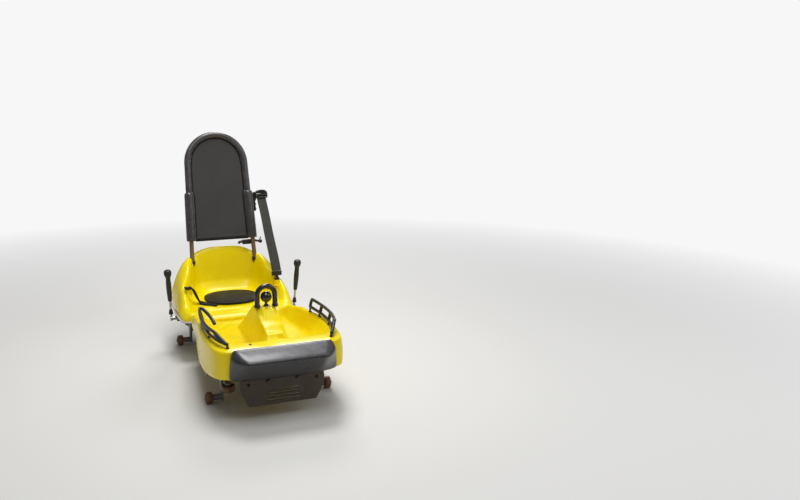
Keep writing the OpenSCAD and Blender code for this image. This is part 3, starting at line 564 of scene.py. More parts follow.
def camera():
    data = bpy.data.cameras.new("camera")
    data.lens, data.sensor_width = LENS, SENSOR
    ahead = Vector((sin(YAW) * cos(PITCH), cos(YAW) * cos(PITCH), -sin(PITCH)))
    right = Vector((cos(YAW), -sin(YAW), 0))
    above = right.cross(ahead)
    turned_right = right * cos(ROLL) + above * sin(ROLL)
    turned_up = above * cos(ROLL) - right * sin(ROLL)
    turn = Matrix((turned_right, turned_up, -ahead)).transposed().to_4x4()
    obj = placed("camera", data)
    obj.matrix_world = Matrix.Translation(CAMERA_PLACE) @ turn
    bpy.context.scene.camera = obj
    bpy.context.scene.view_settings.view_transform = "Standard"


# Room: pale floor that fades out to white between two distances, soft lamps, white behind
WHITE, AMBIENT, GLOSSY_SHARE = (0.93, 0.93, 0.94), (0.17, 0.174, 0.18), 0.06
FLOOR_COLOUR, FLOOR_HALF, FADE = (0.72, 0.715, 0.7), 30, (1.4, 4.2)


def stage_floor():
    bm = bmesh.new()
    bmesh.ops.create_grid(bm, x_segments=2, y_segments=2, size=FLOOR_HALF)
    mesh = mesh_of("floor", bm)
    mat = bpy.data.materials.new("floor")
    mat.use_nodes = True
    tree = mat.node_tree
    shader = tree.nodes["Principled BSDF"]
    shader.inputs["Base Color"].default_value = (*FLOOR_COLOUR, 1)
    shader.inputs["Roughness"].default_value = 0.75
    place = Val(tree, tree.nodes.new("ShaderNodeTexCoord").outputs["Object"])
    far = place.node("VectorMath", {"operation": "LENGTH"}, {0: place}, 1).range(*FADE)
    seen = far * Val(tree, tree.nodes.new("ShaderNodeLightPath").outputs["Is Camera Ray"])
    white = place.node("Emission", {}, {"Color": WHITE})
    mixed = place.node("MixShader", {}, {0: seen, 1: Val(tree, shader.outputs[0]), 2: white})
    tree.links.new(mixed.socket, tree.nodes["Material Output"].inputs["Surface"])
    mesh.materials.append(mat)
    placed("floor", mesh)


def soft_world():
    world = bpy.data.worlds.new("room")
    world.use_nodes = True
    bpy.context.scene.world = world
    tree = world.node_tree
    rays = tree.nodes.new("ShaderNodeLightPath").outputs
    seen = Val(tree, rays["Is Camera Ray"]) + Val(tree, rays["Is Glossy Ray"]) * GLOSSY_SHARE
    seen = (seen + Val(tree, rays["Is Transmission Ray"])).math("MINIMUM", 1)
    colour = seen.node("Mix", {"data_type": "RGBA"}, {0: seen, 6: AMBIENT, 7: WHITE}, 2)
    tree.links.new(colour.socket, tree.nodes["Background"].inputs["Color"])


LAMPS = [
    # name, place, aimed at, size, watts, colour
    ("key", (-0.2, -1.6, 3.3), (0, 0, 0.35), 1.7, 36, (1, 0.98, 0.93)),
    ("fill", (2.4, -1.6, 2.4), (0, 0, 0.4), 2, 22, (0.95, 0.97, 1)),
    ("back", (0.9, 2.9, 2.9), (0, 0.2, 0.5), 1.3, 50, (1, 0.98, 0.95)),
    ("top", (0.1, 0.35, 3.4), (0, -0.2, 0), 1.2, 60, (1, 1, 1)),
]


def lamps():
    for name, place, aim, size, watts, colour in LAMPS:
        lamp = bpy.data.lights.new(name, "AREA")
        lamp.size, lamp.energy, lamp.color = size, watts, colour
        obj = placed(name, lamp)
        obj.location = place
        obj.rotation_euler = (Vector(aim) - Vector(place)).to_track_quat("-Z", "Y").to_euler()


# Seat tub and front shell: tables after those of the solids, made as smooth skins
PAN_H, FLOOR_H, DECK_H, BACK_EDGE_H = 145, 100, 214, 374
SEAM_S, SEAM_GAP, TUB_BACK_S, TUB_MIDDLE_S, TUB_HALF_W = 895, 0.4, 1384, 1130, 289
NOSE_S, NOSE_HALF_W, SEAM_HALF_W, HOOP_S = 94.3, 286, 244, 370

TUB_HALF = [(0, 895.4), (257, 895.4), (280, 930), (287, 1050), (289, 1180), (284, 1290), (231, 1374),
            (150, 1384), (0, 1384)]
TUB_EDGE = [(900, 146), (960, 150), (1050, 212), (1130, 232), (1200, 262), (1270, 312), (1340, 332)]
TUB_SKIRT = [(900, 104), (1040, 108), (1182, 122), (1300, 140), (1384, 148)]
# side inset on the arms and at the back, back inset, seam inset, from the pan, share of the edge's
# height, depth at the seam
TUB_ROWS = [
    (142, 152, 122, 92, 1, 0, 3), (96, 132, 96, 76, 1, 0.05, 5), (82, 121, 80, 60, 1, 0.2, 7.5),
    (78, 118, 75, 56, 1, 0.24, 8.5), (70, 112, 70, 48, 1, 0.42, 10), (60, 105, 57, 34, 1, 0.85, 14),
    (51, 97, 45, 22, 1, 0.98, 19), (42, 88, 36, 13, 1, 1, 24), (32, 72, 24, 6, 0, 0.97, 29),
    (20, 44, 12, 1.5, 0, 0.8, 34), (8, 17, 3, 0, 0, 0.45, 39), (1, 3, 0, 0, 0, 0.2, 45),
    (6, 6, 4, 0, 0, 0, 52)]
# Where the arms turn into the back and where the back rises: station and length; its crown's half width
ARMS_END, BACK_RISE, CROWN_HALF_W = (1080, 200), (1250, 100), 230


def ramp(s, start, length):
    """0 up to a start and 1 from a length past it, eased between."""
    return smooth((s - start) / length)


def seam_share(u, v):
    """How much a point belongs to the flat seam of the two shells, from 0 to 1."""
    return smooth((v - 0.9) / 0.08) * smooth((0.88 - abs(u)) / 0.16)


def tub_point(p, row):
    side_arms, side_back, back, seam, from_pan, share, depth = row
    length = TUB_BACK_S - SEAM_S - SEAM_GAP
    v, u = (TUB_BACK_S - p[1]) / length, p[0] / TUB_HALF_W
    x = p[0] * (1 - mix(side_arms, side_back, ramp(p[1], *ARMS_END)) / TUB_HALF_W)
    s = TUB_BACK_S - back - v * (length - back - seam)
    low = PAN_H if from_pan else curve(s, TUB_SKIRT)
    crown = 1 - clamp(abs(p[0]) / CROWN_HALF_W) ** 3
    edge = curve(p[1], TUB_EDGE) + (BACK_EDGE_H - TUB_EDGE[-1][1]) * ramp(p[1], *BACK_RISE) * crown
    h = mix(low + share * (edge - low), PAN_H - depth, seam_share(u, v))
    return at(x, s, h)


def tub():
    loop = outline(TUB_HALF)
    rings = [[at(0, TUB_MIDDLE_S, PAN_H)] * len(loop)]
    rings += [[tub_point(p, row) for p in loop] for row in TUB_ROWS]
    bm = merged(skin(rings))
    piece("seat_tub_shell", bm, "yellow_shell", replaces="seat_tub", wall=WALL, levels=2)


# The tub's pale edge: its first station, the station round which its points are put in order, its radius
RIM_FROM_S, RIM_TURN_S, RIM_R = 900, 1100, 4.5


def rim():
    """Pale edge under the tub: from the back round one side, under the seam and round the other side."""
    loop = [p for p in outline(TUB_HALF) if p[1] > RIM_FROM_S]
    loop = sorted(loop, key=lambda p: atan2(p[0], RIM_TURN_S - p[1]))
    path = [at(x, s, curve(s, TUB_SKIRT) + 0.5) for x, s in loop]
    piece("lower_rim_edge", tube(path, RIM_R, 14), "pale_edge", replaces="lower_rim", outwards=True)


NOSE_HALF = [(0, 94.3), (150, 94.3), (244, 94.3), (276, 160), (288, 310), (286, 430), (266, 600),
             (254, 760), (244, 895), (0, 895)]
NOSE_EDGE = [(95, 214), (300, 214), (410, 211), (640, 196), (800, 170), (895, 146)]
NOSE_SKIRT = [(95, 92), (320, 70), (450, 70), (620, 98), (895, 104)]
# side inset, front inset, seam inset, from the floor, share of the edge's height, depth at the seam
NOSE_ROWS = [
    (90, 385, 40, 1, 0, 0), (68, 350, 30, 1, 0.07, 0), (54, 245, 20, 1, 0.36, 0),
    (44, 130, 12, 1, 0.8, 0), (36, 98, 6.9, 1, 0.97, 0.8), (28, 78, 2.8, 1, 1, 2.4),
    (14, 8, 0.4, 0, 0.99, 4.6), (8, 2, 0, 0, 0.93, 7), (4, 0, 0, 0, 0.7, 10), (0, 0, 0, 0, 0.32, 13),
    (4, 3, 0, 0, 0, 17)]
CONSOLE_FOOT = [(180, 212), (225, 190), (340, 142), (420, 115), (480, 100), (900, 100)]
CONSOLE_RIDGE = [(205, 215), (240, 225), (285, 249), (330, 276), (385, 298), (430, 302), (480, 278)]
CONSOLE_CROWN, CONSOLE_TOP_H = 4, 304
BOSS_TOP_H, BOSS_HALF_W, BOSS_FRONT_S, BOSS_EDGE = 301, 32, 318, 20
# Half width and first and last station of the foot ring and the ridge ring; how narrow the ridge begins
FOOT_HALF_W, FOOT_S, RIDGE_HALF_W, RIDGE_S, RIDGE_START = 54, (205, 822), 47, (228, 440), 0.72
# The right flank's flare: how far out, how far down, the station where it ends and the length of its end
FLARE, FLARE_DROP, FLARE_END_S, FLARE_L = 58, 34, 560, 240
# from foot to ridge, share of the rise, size of the ridge ring
CONSOLE_ROWS = [
    (1, 1, 0.25), (1, 1, 0.48), (1, 1, 0.64), (1, 1, 0.76), (1, 0.997, 0.86), (0.995, 0.985, 0.95),
    (0.965, 0.95, 1), (0.87, 0.85, 1), (0.6, 0.56, 1), (0.3, 0.23, 1), (0.12, 0.05, 1), (0, 0, 1)]


def nose_point(p, row):
    side, front, seam, from_floor, share, depth = row
    length = SEAM_S - NOSE_S
    v, u = (p[1] - NOSE_S) / length, p[0] / SEAM_HALF_W
    s = NOSE_S + front + v * (length - front - seam)
    low = FLOOR_H if from_floor else curve(s, NOSE_SKIRT)
    h = mix(low + share * (curve(p[1], NOSE_EDGE) - low), FLOOR_H - depth, seam_share(u, v))
    return at(p[0] * (1 - side / NOSE_HALF_W), s, h)


def boss_share(x, s):
    """How much a point belongs to the flat boss under the hoop, from 0 to 1."""
    out = hypot(x, min(0, s - BOSS_FRONT_S - BOSS_HALF_W))
    return smooth((BOSS_HALF_W + BOSS_EDGE / 2 - out) / BOSS_EDGE)


def console_point(p, row):
    inward, rise, size = row
    v, u = (p[1] - NOSE_S) / (SEAM_S - NOSE_S), p[0] / NOSE_HALF_W
    foot_s = mix(*FOOT_S, v)
    flared = smooth((FLARE_END_S - foot_s) / FLARE_L) * smooth(u * 2)
    foot = ((FOOT_HALF_W + FLARE * flared) * u, foot_s)
    ridge = (RIDGE_HALF_W * size * u * mix(RIDGE_START, 1, smooth(v / 0.5)),
             mix(HOOP_S, mix(*RIDGE_S, v), size))
    x, s = (mix(a, b, inward) for a, b in zip(foot, ridge))
    top = curve(ridge[1], CONSOLE_RIDGE) + CONSOLE_CROWN * (1 - size * size)
    top = mix(top, max(top, BOSS_TOP_H), boss_share(x, s))
    rise = mix(rise, smooth(rise), flared)
    return at(x, s, mix(curve(s, CONSOLE_FOOT) - FLARE_DROP * flared, top, rise))


def front_shell():
    loop = outline(NOSE_HALF)
    rings = [[at(0, HOOP_S, CONSOLE_TOP_H)] * len(loop)]
    rings += [[console_point(p, row) for p in loop] for row in CONSOLE_ROWS]
    rings += [[nose_point(p, row) for p in loop] for row in NOSE_ROWS]
    bm = merged(skin(rings))
    piece("front_shell_skin", bm, "yellow_shell", replaces="front_shell", wall=WALL, levels=2)


# Bosses on the arms of the tub, where the belt's anchor and the short strap are bolted down
BOSS_X, ANCHOR_S, STRAP_S, ARM_BOSS_H = 226, 1092, 1060, 230


def arm_bosses():
    form = [(0, 230), (12.5, 230), (14.3, 229.2), (15, 227.5), (15, 214), (17, 206), (20, 202), (0, 198)]
    for name, x, s in [("belt_boss", BOSS_X, ANCHOR_S), ("strap_boss", -BOSS_X, STRAP_S)]:
        piece(name, lathe(form, at(x, s, 0), UP), "yellow_shell", angle=60)


# Bumper: height, station of the front, half width of the front, half width at the shell
# KNEE: share of the bumper's depth where a row's side turns in; ROUND: length that a corner takes
BUMPER_L, BUMPER_KNEE, BUMPER_ROUND = 94, 0.62, 40
BUMPER_ROWS = [
    (218, 84, 186, 190), (215, 70, 184, 198), (204, 40, 176, 206), (193, 15, 169, 210),
    (187, 5, 166, 211), (181, 0.5, 165, 211.5), (174, 0.5, 164, 212), (166, 6, 163, 213),
    (136, 30, 158, 216), (106, 58, 150, 218), (86, 76, 146, 217)]


def bumper():
    rings = []
    for h, front, front_w, half_w in BUMPER_ROWS:
        half = [(half_w, BUMPER_L), (half_w, mix(front, BUMPER_L, BUMPER_KNEE)), (front_w, front),
                (front_w - BUMPER_ROUND, front)]
        line = [(-x, s) for x, s in half] + half[::-1]
        for _ in range(3):
            line = rounded(line)
        line += [(half_w * t, BUMPER_L) for t in (0.5, 0, -0.5)]
        rings.append([at(x, s, h) for x, s in line])
    bm = capped(skin(rings))
    piece("bumper_cover", bm, "grey_bumper", replaces="front_bumper", levels=2, outwards=True)


# Seat mat: a crowned foam cushion with a bound edge and a sewn channel
MAT_HALF_W, MAT_HALF_L, MAT_S = 135, 126, 1127
# share of the outline, height over the pan
MAT_ROWS = [
    (0, 0.3), (0.9, 0.3), (0.975, 0.6), (1, 3.5), (0.99, 7), (0.955, 9.4), (0.925, 10.3), (0.905, 10.2),
    (0.885, 11.4), (0.84, 13.6), (0.7, 16.6), (0.5, 18.9), (0.25, 20.1), (0, 20.3)]
# The binding in the mat's own terms and its radius in metres; scale and depth of the foam's softness
BINDING_SHARE, BINDING_H, BINDING_R = 0.985, 7.2, 0.0026
SOFT_SCALE, SOFT_DEPTH = 26, 0.0009


def mat_place(w, share, h):
    """A point of the mat: turn round its middle, share of its outline and height over the pan."""
    x, s = (copysign(abs(v) ** 0.84, v) * share for v in (cos(w), sin(w)))
    return at(MAT_HALF_W * x, MAT_S + MAT_HALF_L * s, PAN_H + h)


def mat():
    def softened(p, h):
        return p + UP * (noise.noise(p * SOFT_SCALE) * SOFT_DEPTH * smooth((h - 9) / 4))
    rings = [[softened(mat_place(w, share, h), h) for w in circle(72)] for share, h in MAT_ROWS]
    bm = merged(skin(rings))
    obj = piece("seat_mat_cushion", bm, "mat", replaces="seat_mat", levels=1, outwards=True)
    middle = at(0, MAT_S, PAN_H + BINDING_H)
    edge = [mat_place(w, BINDING_SHARE, BINDING_H) for w in circle(90)]
    outward = [(p - middle).normalized() for p in edge]
    rings = [[p + (out * cos(w) + UP * sin(w)) * BINDING_R for w in circle(8)]
             for p, out in zip(edge, outward)]
    piece("mat_binding", merged(skin(rings + rings[:1])), "black_webbing", outwards=True)


# Webbing: width and thickness in millimetres
STRAP, BELT, BELT_LOW_H = (42, 7), (48, 2.5), 277.4
# The belt's sag backwards and its drift sideways in metres, and its twist
BELT_SAG, BELT_DRIFT, BELT_TWIST = 0.004, 0.001, 0.05


def lap_strap():
    places = [(-239, 1060, 232.2), (-222, 1061, 232.4), (-208, 1062, 231.8), (-196.5, 1064, 215),
              (-184.5, 1066, 187), (-173, 1067, 161), (-162, 1064, 152), (-148, 1054, 148.6),
              (-130, 1040, 147.7), (-110, 1026, 147.7), (-92, 1014, 147.7)]
    path = spline([at(*p) for p in places], 5)
    across = [UP.cross(b - a) for a, b in zip(path[:1] + path, path[1:] + path[-1:])]
    band("lap_strap_webbing", path, across, STRAP, replaces="lap_strap")


def belt():
    """The belt from its guide to its anchor, with a little sag and twist."""
    top, low = lean(220, -17, GUIDE_V) + Vector((0, 0, -0.0223)), at(BOSS_X, ANCHOR_S, BELT_LOW_H)
    path, across = [], []
    for t in (k / 40 for k in range(41)):
        bow = 4 * t * (1 - t)
        path.append(top.lerp(low, t) + Vector((BELT_DRIFT * sin(9 * t) * bow, -BELT_SAG * bow, 0)))
        across.append(Vector((1, BELT_TWIST * sin(5 * t) * bow, 0)))
    band("belt_webbing_band", path, across, BELT, "grey_webbing", "belt_webbing")


# Back frame and what it carries, in its leaning frame: x, how far behind the tube (y) and how far up
# from the bend (v)
BACK_HALF_W, BACK_FOOT_S, BEND_H, SOCKET_FLOOR_H = 162, 1304, 312, 92
LEAN, TAPER = radians(14), radians(1.6)
TUBE_R, PAD_LOW_R, PAD_TOP_R = 11, 24, 16
PAD_START, PAD_STEP, PAD_RING, GUIDE_V = 101, 346, 6.5, 328
BACK_L = 650
ARCH_R = (BACK_HALF_W - BACK_L * tan(TAPER)) / (
    cos(TAPER) - tan(TAPER) + sin(TAPER) * tan(TAPER))
ARCH_V = BACK_L - ARCH_R


def lean(x, y, v):
    return at(x, BACK_FOOT_S + y * cos(LEAN) + v * sin(LEAN),
              BEND_H - y * sin(LEAN) + v * cos(LEAN))


LEANING = Matrix.Translation(at(0, BACK_FOOT_S, BEND_H)) @ Matrix.Rotation(-LEAN, 4, "X")


def upright_x(v):
    return BACK_HALF_W - v * tan(TAPER)


def arch_path(from_v, step):
    """Points up the left upright, over the arch and down the right one."""
    top_v = ARCH_V + ARCH_R * sin(TAPER)
    n = max(2, round((top_v - from_v) / step))
    up = [from_v + (top_v - from_v) * k / n for k in range(n)]
    turns = max(8, round(pi * ARCH_R / step))
    over = [pi - TAPER - (pi - 2 * TAPER) * k / turns for k in range(turns + 1)]
    return ([lean(-upright_x(v), 0, v) for v in up]
            + [lean(ARCH_R * cos(w), 0, ARCH_V + ARCH_R * sin(w)) for w in over]
            + [lean(upright_x(v), 0, v) for v in reversed(up)])


def back_tube():
    foot = [at(-BACK_HALF_W, BACK_FOOT_S, h) for h in (SOCKET_FLOOR_H, 150, 210, 260, 290, 302)]
    foot += [at(-BACK_HALF_W, BACK_FOOT_S + 0.6, 309)]
    other = [Vector((-p.x, p.y, p.z)) for p in reversed(foot)]
    path = foot + arch_path(9, 12) + other
    piece("back_tube", tube(path, TUBE_R, 24), "zinc_steel", replaces="back_frame")


def sleeve(name, path, radius, seed, seam_turn, replaces=None):
    """A hollow padding sleeve along (point, share of the radius), with a seam and soft creases."""
    points = [p for p, share in path]
    sides, across = 36, Vector((0, 1, 0))

    def swell(i, w):
        crease = noise.noise(Vector((cos(w) * 0.9, sin(w) * 0.9 + seed, i * 0.33))) * 0.018
        crease += noise.noise(Vector((cos(w) * 2.2, sin(w) * 2.2 + seed, i * 0.9))) * 0.008
        gap = abs(remainder(w - seam_turn, tau))
        seam = -0.02 * exp(-(gap / 0.07) ** 2) + 0.012 * exp(-((gap - 0.17) / 0.08) ** 2)
        return path[i][1] * (1 + crease + seam) - 0.012
    outer = round_rings(points, radius, sides, swell, across)
    inner = round_rings(points, TUBE_R + 0.4, sides, None, across)
    bm = merged(skin(outer + inner[::-1] + outer[:1]))
    piece(name, bm, "black_foam", replaces=replaces, outwards=True, angle=70)


# Share of the radius at distances from the start of the low padding and from its step
START_SHARES = [(0, 0.8), (0.6, 0.88), (2.5, 0.95), (6, 0.985), (10, 0.995), (12.5, 0.985),
                (15, 0.995), (18, 1)]
STEP_SHARES = [(-13, 1), (-8, 0.995), (-4, 0.98), (-1, 0.95), (2, 0.89), (4.5, 0.8), (6, 0.7)]


def padding():
    stations = [(PAD_START + d, share) for d, share in START_SHARES]
    stations += [(PAD_START + START_SHARES[-1][0] + PAD_RING * k, 1) for k in range(1, 33)]
    stations += [(PAD_STEP + d, share) for d, share in STEP_SHARES]
    for name, side in SIDES:
        path = [(lean(side * upright_x(v), 0, v), share) for v, share in stations]
        sleeve("padding_" + name, path, PAD_LOW_R, 3.1 * side, pi / 2 - side * 0.9,
               "frame_padding" if side < 0 else None)
    points = arch_path(PAD_STEP + 6.2, 7)
    shares = [0.96, 0.99] + [1] * (len(points) - 4) + [0.99, 0.96]
    sleeve("padding_arch", list(zip(points, shares)), PAD_TOP_R, 7.7, 0.35)


NET_R = ARCH_R - PAD_TOP_R - 0.6
# The flat net's width and length in metres and its area as a share of the stretched net's
NET_TOP_V, NET_SAG, NET_FLAT, NET_SHARE = ARCH_V + NET_R, 7, (0.279, 0.534), 0.985


def net_half(v):
    if v > ARCH_V:
        return sqrt(max(1, NET_R * NET_R - (v - ARCH_V) ** 2))
    inside = mix(PAD_LOW_R, PAD_TOP_R, smooth((v - PAD_STEP + 4) / 14)) - 1
    return upright_x(v) - inside


def net_sag(u, v):
    along = clamp((v - PAD_START) / (NET_TOP_V - PAD_START))
    return NET_SAG * (1 - u * u) * sin(pi * along) ** 0.6


def back_net():
    """The net, the hem along its foot and the border along its sides and its arch."""
    vs = [PAD_START + (NET_TOP_V - PAD_START) * (1 - (1 - k / 44) ** 1.35) for k in range(45)]
    us = [sin(pi / 2 * (j / 13 - 1)) for j in range(27)]
    rings = [[lean(net_half(v) * u, net_sag(u, v), v) for u in us] for v in vs]
    bm = skin(rings, closed=False, uv=lambda i, j: (net_half(vs[i]) * us[j] / 1000, vs[i] / 1000))
    area = sum(face.calc_area() for face in bm.faces)
    obj = piece("back_net", bm, "dark_mesh", replaces="back_mesh", wall=1.2, angle=80)
    area * NET_SHARE
    v = PAD_START + 5
    foot = [lean(net_half(v) * u, net_sag(u, v) - 0.4, v) for u in (k / 20 - 1 for k in range(41))]
    upward = [(lean(0, 0, 10) - lean(0, 0, 0)).normalized()] * len(foot)
    side = [(net_half(v) - 3.5, v) for v in vs if v > PAD_START + 12]
    side = [p for p in side if p[0] > 2]
    loop = [lean(-x, -0.2, v) for x, v in side] + [lean(x, 0, v) for x, v in reversed(side)]
    outward = [(p - lean(0, 0, 380)).normalized() for p in loop]
    band("net_hem", foot, upward, (15, 3.4))
    band("net_border", loop, outward, (8, 2.6))


def sockets():
    form = [(11.5, 295), (14.6, 295), (14.7, 309), (14.1, 311.4), (12.8, 312.6), (11.7, 312),
            (11.5, 310), (11.5, 295)]
    for name, side in SIDES:
        ring = lathe(form, at(side * BACK_HALF_W, BACK_FOOT_S, 0), UP)
        piece("tube_socket_" + name, ring, "black_rubber",
              replaces="tube_sockets" if side < 0 else None, angle=50)


# Belt fittings
def belt_guide():
    root_x = BACK_HALF_W - (PAD_STEP - 80) * tan(TAPER) + PAD_LOW_R + 1
    plate = block((root_x, -5, GUIDE_V - 88), (root_x + 10, 15, GUIDE_V + 14), 4.2, LEANING)
    bulge = block((root_x - 0.6, -9, GUIDE_V - 34), (root_x + 15, 18, GUIDE_V + 12), 6.5, LEANING)
    arm = block((root_x + 5, -12, GUIDE_V - 13), (247, -2, GUIDE_V + 13), 4, LEANING)
    path = [(192, -14), (192, 2), (196, 11), (206, 16.5), (220, 18), (234, 16.5), (244, 11), (248, 2),
            (248, -14), (244, -18.5), (236, -20), (204, -20), (196, -18.5), (192, -14)]
    points = [lean(x, -15, GUIDE_V + v) for x, v in path]
    loop = capped(skin(round_rings(spline(points, 5), 5.8, 14)))
    web = block((195, -14, GUIDE_V - 14), (245, -9, GUIDE_V + 13), 2.2, LEANING)
    bar_form = [(0, -27), (6.4, -27), (7, -25), (7, 25), (6.4, 27), (0, 27)]
    bar = lathe(bar_form, lean(220, -15, GUIDE_V - 2), (1, 0, 0), 24)
    piece("belt_guide_hook", joined(plate, bulge, arm, loop, web, bar), "black_gloss",
          replaces="belt_guide", angle=50)
    screws = [hex_head(lean(root_x + 10, 5, GUIDE_V - down), (1, 0, 0), 8, 3, 5.5) for down in (76, 50)]
    piece("guide_screws", joined(*screws), "bright_steel", angle=30)


def belt_anchor():
    form = [(0, 230.2), (12.6, 230.2), (13, 231), (13, 237.5), (11.8, 239.6), (9, 240.2), (0, 240.2)]
    foot = lathe(form, at(BOSS_X, ANCHOR_S, 0), UP)
    local = Matrix.Translation(at(BOSS_X, ANCHOR_S, ARM_BOSS_H))
    stem = block((-8, -4, 8), (8, 4, 30), 1.8, local)
    clasp = block((-25.6, -6.6, 22), (25.6, 6.6, 46), 4.2, local)
    lip = block((-25.9, -7.4, 39), (25.9, 7.4, 45.4), 2.4, local)
    piece("belt_anchor_clasp", joined(foot, stem, clasp, lip), "black_plastic",
          replaces="belt_anchor", angle=50)
    piece("strap_washer", hex_head(at(-BOSS_X, STRAP_S, 233.9), UP, 13, 5, 11), "bright_steel", angle=30)


# Small black fittings low on the back frame: a stub with a knob and a latch between frame and tub
def frame_fittings():
    stub = tube([lean(152, 8, 92), lean(176, 6, 84), lean(196, 2, 80)], 6, 12)
    ball = [(0, -9), (6, -9), (8.6, -6), (9.6, 0), (8.6, 6), (6, 9), (0, 9)]
    knob = lathe(ball, lean(199, 2, 79), (1, 0, -0.1), 24)
    hook = tube([lean(196, 2, 84), lean(199, 2, 95), lean(204, 2, 101)], 3, 10)
    latch = block((104, 0, 68), (150, 16, 94), 4.5, LEANING)
    rod = tube(spline([lean(84, 8, 74), lean(92, 8, 82), lean(112, 8, 84)], 4), 7, 12)
    piece("recline_stub", joined(stub, knob, hook, latch, rod), "black_plastic", angle=50)


# Console fittings
HOOP_R, HOOP_TUBE_R, HOOP_FOOT_H, HOOP_LEG = 38, 10.8, 301, 50


def grab_hoop():
    arc = [at(-HOOP_R * cos(w), HOOP_S, HOOP_FOOT_H + HOOP_LEG + HOOP_R * sin(w))
           for w in (k * pi / 28 for k in range(29))]
    leg = [HOOP_FOOT_H + h for h in (0.4, 12, 28, 42)]
    path = [at(-HOOP_R, HOOP_S, h) for h in leg] + arc + [at(HOOP_R, HOOP_S, h) for h in reversed(leg)]
    collar = [(0, -2), (13, -2), (13.4, -1), (13.4, 4.5), (12.8, 6.6), (11.6, 8.6), (10.8, 10.5),
              (0, 10.5)]
    feet = [lathe(collar, at(side * HOOP_R, HOOP_S, HOOP_FOOT_H), UP) for name, side in SIDES]
    piece("grab_hoop_tube", joined(tube(path, HOOP_TUBE_R, 28), *feet), "black_gloss",
          replaces="grab_hoop", angle=60)


def console_knob():
    ball = [(24 * cos(w), 39 + 24 * sin(w)) for w in (radians(a) for a in range(-66, 91, 6))]
    stem = [(0, 0.2), (10.6, 0.2), (11, 1), (10.8, 3.6), (9.5, 5.2), (7, 6), (6, 8), (6, 15), (7.6, 17)]
    piece("console_knob_ball", lathe(stem + ball, at(0, HOOP_S, CONSOLE_TOP_H), UP, 48), "black_gloss",
          replaces="console_knob", angle=50)


# Foot guards: bars in a plane that follows the shell's edge and leans outwards
# PLAN: station, how far inside the nose's half width. FEET: station, how far inside, over the deck
GUARD_PLAN = [(118, 88), (160, 70), (205, 56), (260, 45), (318, 39), (432, 40), (560, 54)]
GUARD_FEET = [(136, 74, -0.4), (300, 32, 0.2), (432, 34, -3), (544, 44, -9.6)]
GUARD_INSIDE, GUARD_ROOT_H, GUARD_LOW, GUARD_TOP, GUARD_BAR_R = 40, 196, 33.5, 66.5, 6.8
GUARD_LEAN = radians(16)


def guard_point(side, s, rise):
    """A point of the guard's middle plane at a station, this far over its root."""
    steps = zip(GUARD_PLAN, GUARD_PLAN[1:])
    out = GUARD_INSIDE - next(mix(a, b, (s - s0) / (s1 - s0)) for (s0, a), (s1, b) in steps if s <= s1)
    along = (rise + out * sin(GUARD_LEAN)) / cos(GUARD_LEAN)
    x = NOSE_HALF_W - GUARD_INSIDE + out * cos(GUARD_LEAN) + along * sin(GUARD_LEAN)
    return at(side * x, s, GUARD_ROOT_H + rise)


def foot_guards():
    low, top = GUARD_LOW, GUARD_TOP
    ring = [(134, low), (146, low), (200, low), (300, low), (420, low), (534, low), (544, 37),
            (546.5, 50), (544, 63), (534, top), (420, top), (300, top), (205, top), (194, 64),
            (168, 50), (140, 35), (134, low)]
    posts = [(181, 208), (309, 309), (433, 433)]
    foot = [(0, 0), (7.6, 0), (7.8, 1.2), (7, 3), (5, 4.6), (4.5, 6), (4.5, 18), (0, 18)]
    for name, side in SIDES:
        bars = [tube(spline([guard_point(side, s, v) for s, v in ring], 6), GUARD_BAR_R, 14)]
        for low_s, top_s in posts:
            steps = [(mix(low_s, top_s, k / 3), mix(low, top, k / 3)) for k in range(4)]
            bars.append(tube([guard_point(side, s, v) for s, v in steps], GUARD_BAR_R + 0.5, 14))
        for s, inside, lift in GUARD_FEET:
            bars.append(lathe(foot, at(side * (NOSE_HALF_W - inside), s, DECK_H + lift + 0.4), UP, 20))
        piece("foot_guard_bars_" + name, joined(*bars), "black_plastic", replaces="foot_guard_" + name,
              angle=60, outwards=True)


def guard_return():
    """Bar from the rear of the left foot guard back to the shell's inner wall."""
    places = [(-250, 560, 264), (-243, 562, 266), (-234, 552, 262), (-224, 520, 254), (-218, 470, 248),
              (-215, 430, 244), (-214, 405, 238)]
    path = spline([at(*p) for p in places], 5)
    piece("guard_return_bar", tube(path, 7.5, 16), "black_plastic", angle=60)


# Brake levers
LEVER_X, SHAFT_S, SHAFT_H = 308, 1073, 86
# radius, distance from the shaft along the lever
GRIP = [
    (0, 96), (5.2, 96), (5.3, 91.8), (7.6, 91.8), (8.9, 92.6), (9.5, 95), (9.8, 100), (10.8, 116),
    (12, 140), (12.6, 168), (12.2, 186), (11.3, 202), (11.1, 210), (12, 216.5), (13.4, 221),
    (16.2, 227), (17.8, 233), (18.2, 239.5), (17.3, 246.5), (15.2, 251.8), (10.4, 254.8),
    (5, 255.8), (0, 256)]
BOOT = [
    (5.25, 24.3), (11, 24.3), (11, 27), (8.6, 29.2), (10.2, 31.6), (10.2, 33), (7.9, 35.4), (9.2, 37.6),
    (9.2, 39), (7.2, 41.2), (8.2, 43.4), (8.2, 44.6), (6.8, 46.4), (6.6, 49.4), (5.25, 50), (5.25, 24.3)]
LEVER_OUT, LEVER_BACK = radians(3), radians(9)


def levers():
    for name, side in SIDES:
        axis = (side * sin(LEVER_OUT) * cos(LEVER_BACK), -sin(LEVER_BACK),
                cos(LEVER_OUT) * cos(LEVER_BACK))
        root = at(side * LEVER_X, SHAFT_S, SHAFT_H)
        for part, form, steps, replaces in [
                ("lever_handle_", GRIP, 36, "lever_grip_" + name),
                ("lever_boot_", BOOT, 32, "lever_boots" if side < 0 else None)]:
            bm = lathe(form, root, axis, steps)
            piece(part + name, bm, "black_rubber", "brake_levers", replaces, angle=60)


# Wheels: profiles of (radius, distance from the wheel's middle), brown tread on a cast hub
GROOVE_R = 39.05


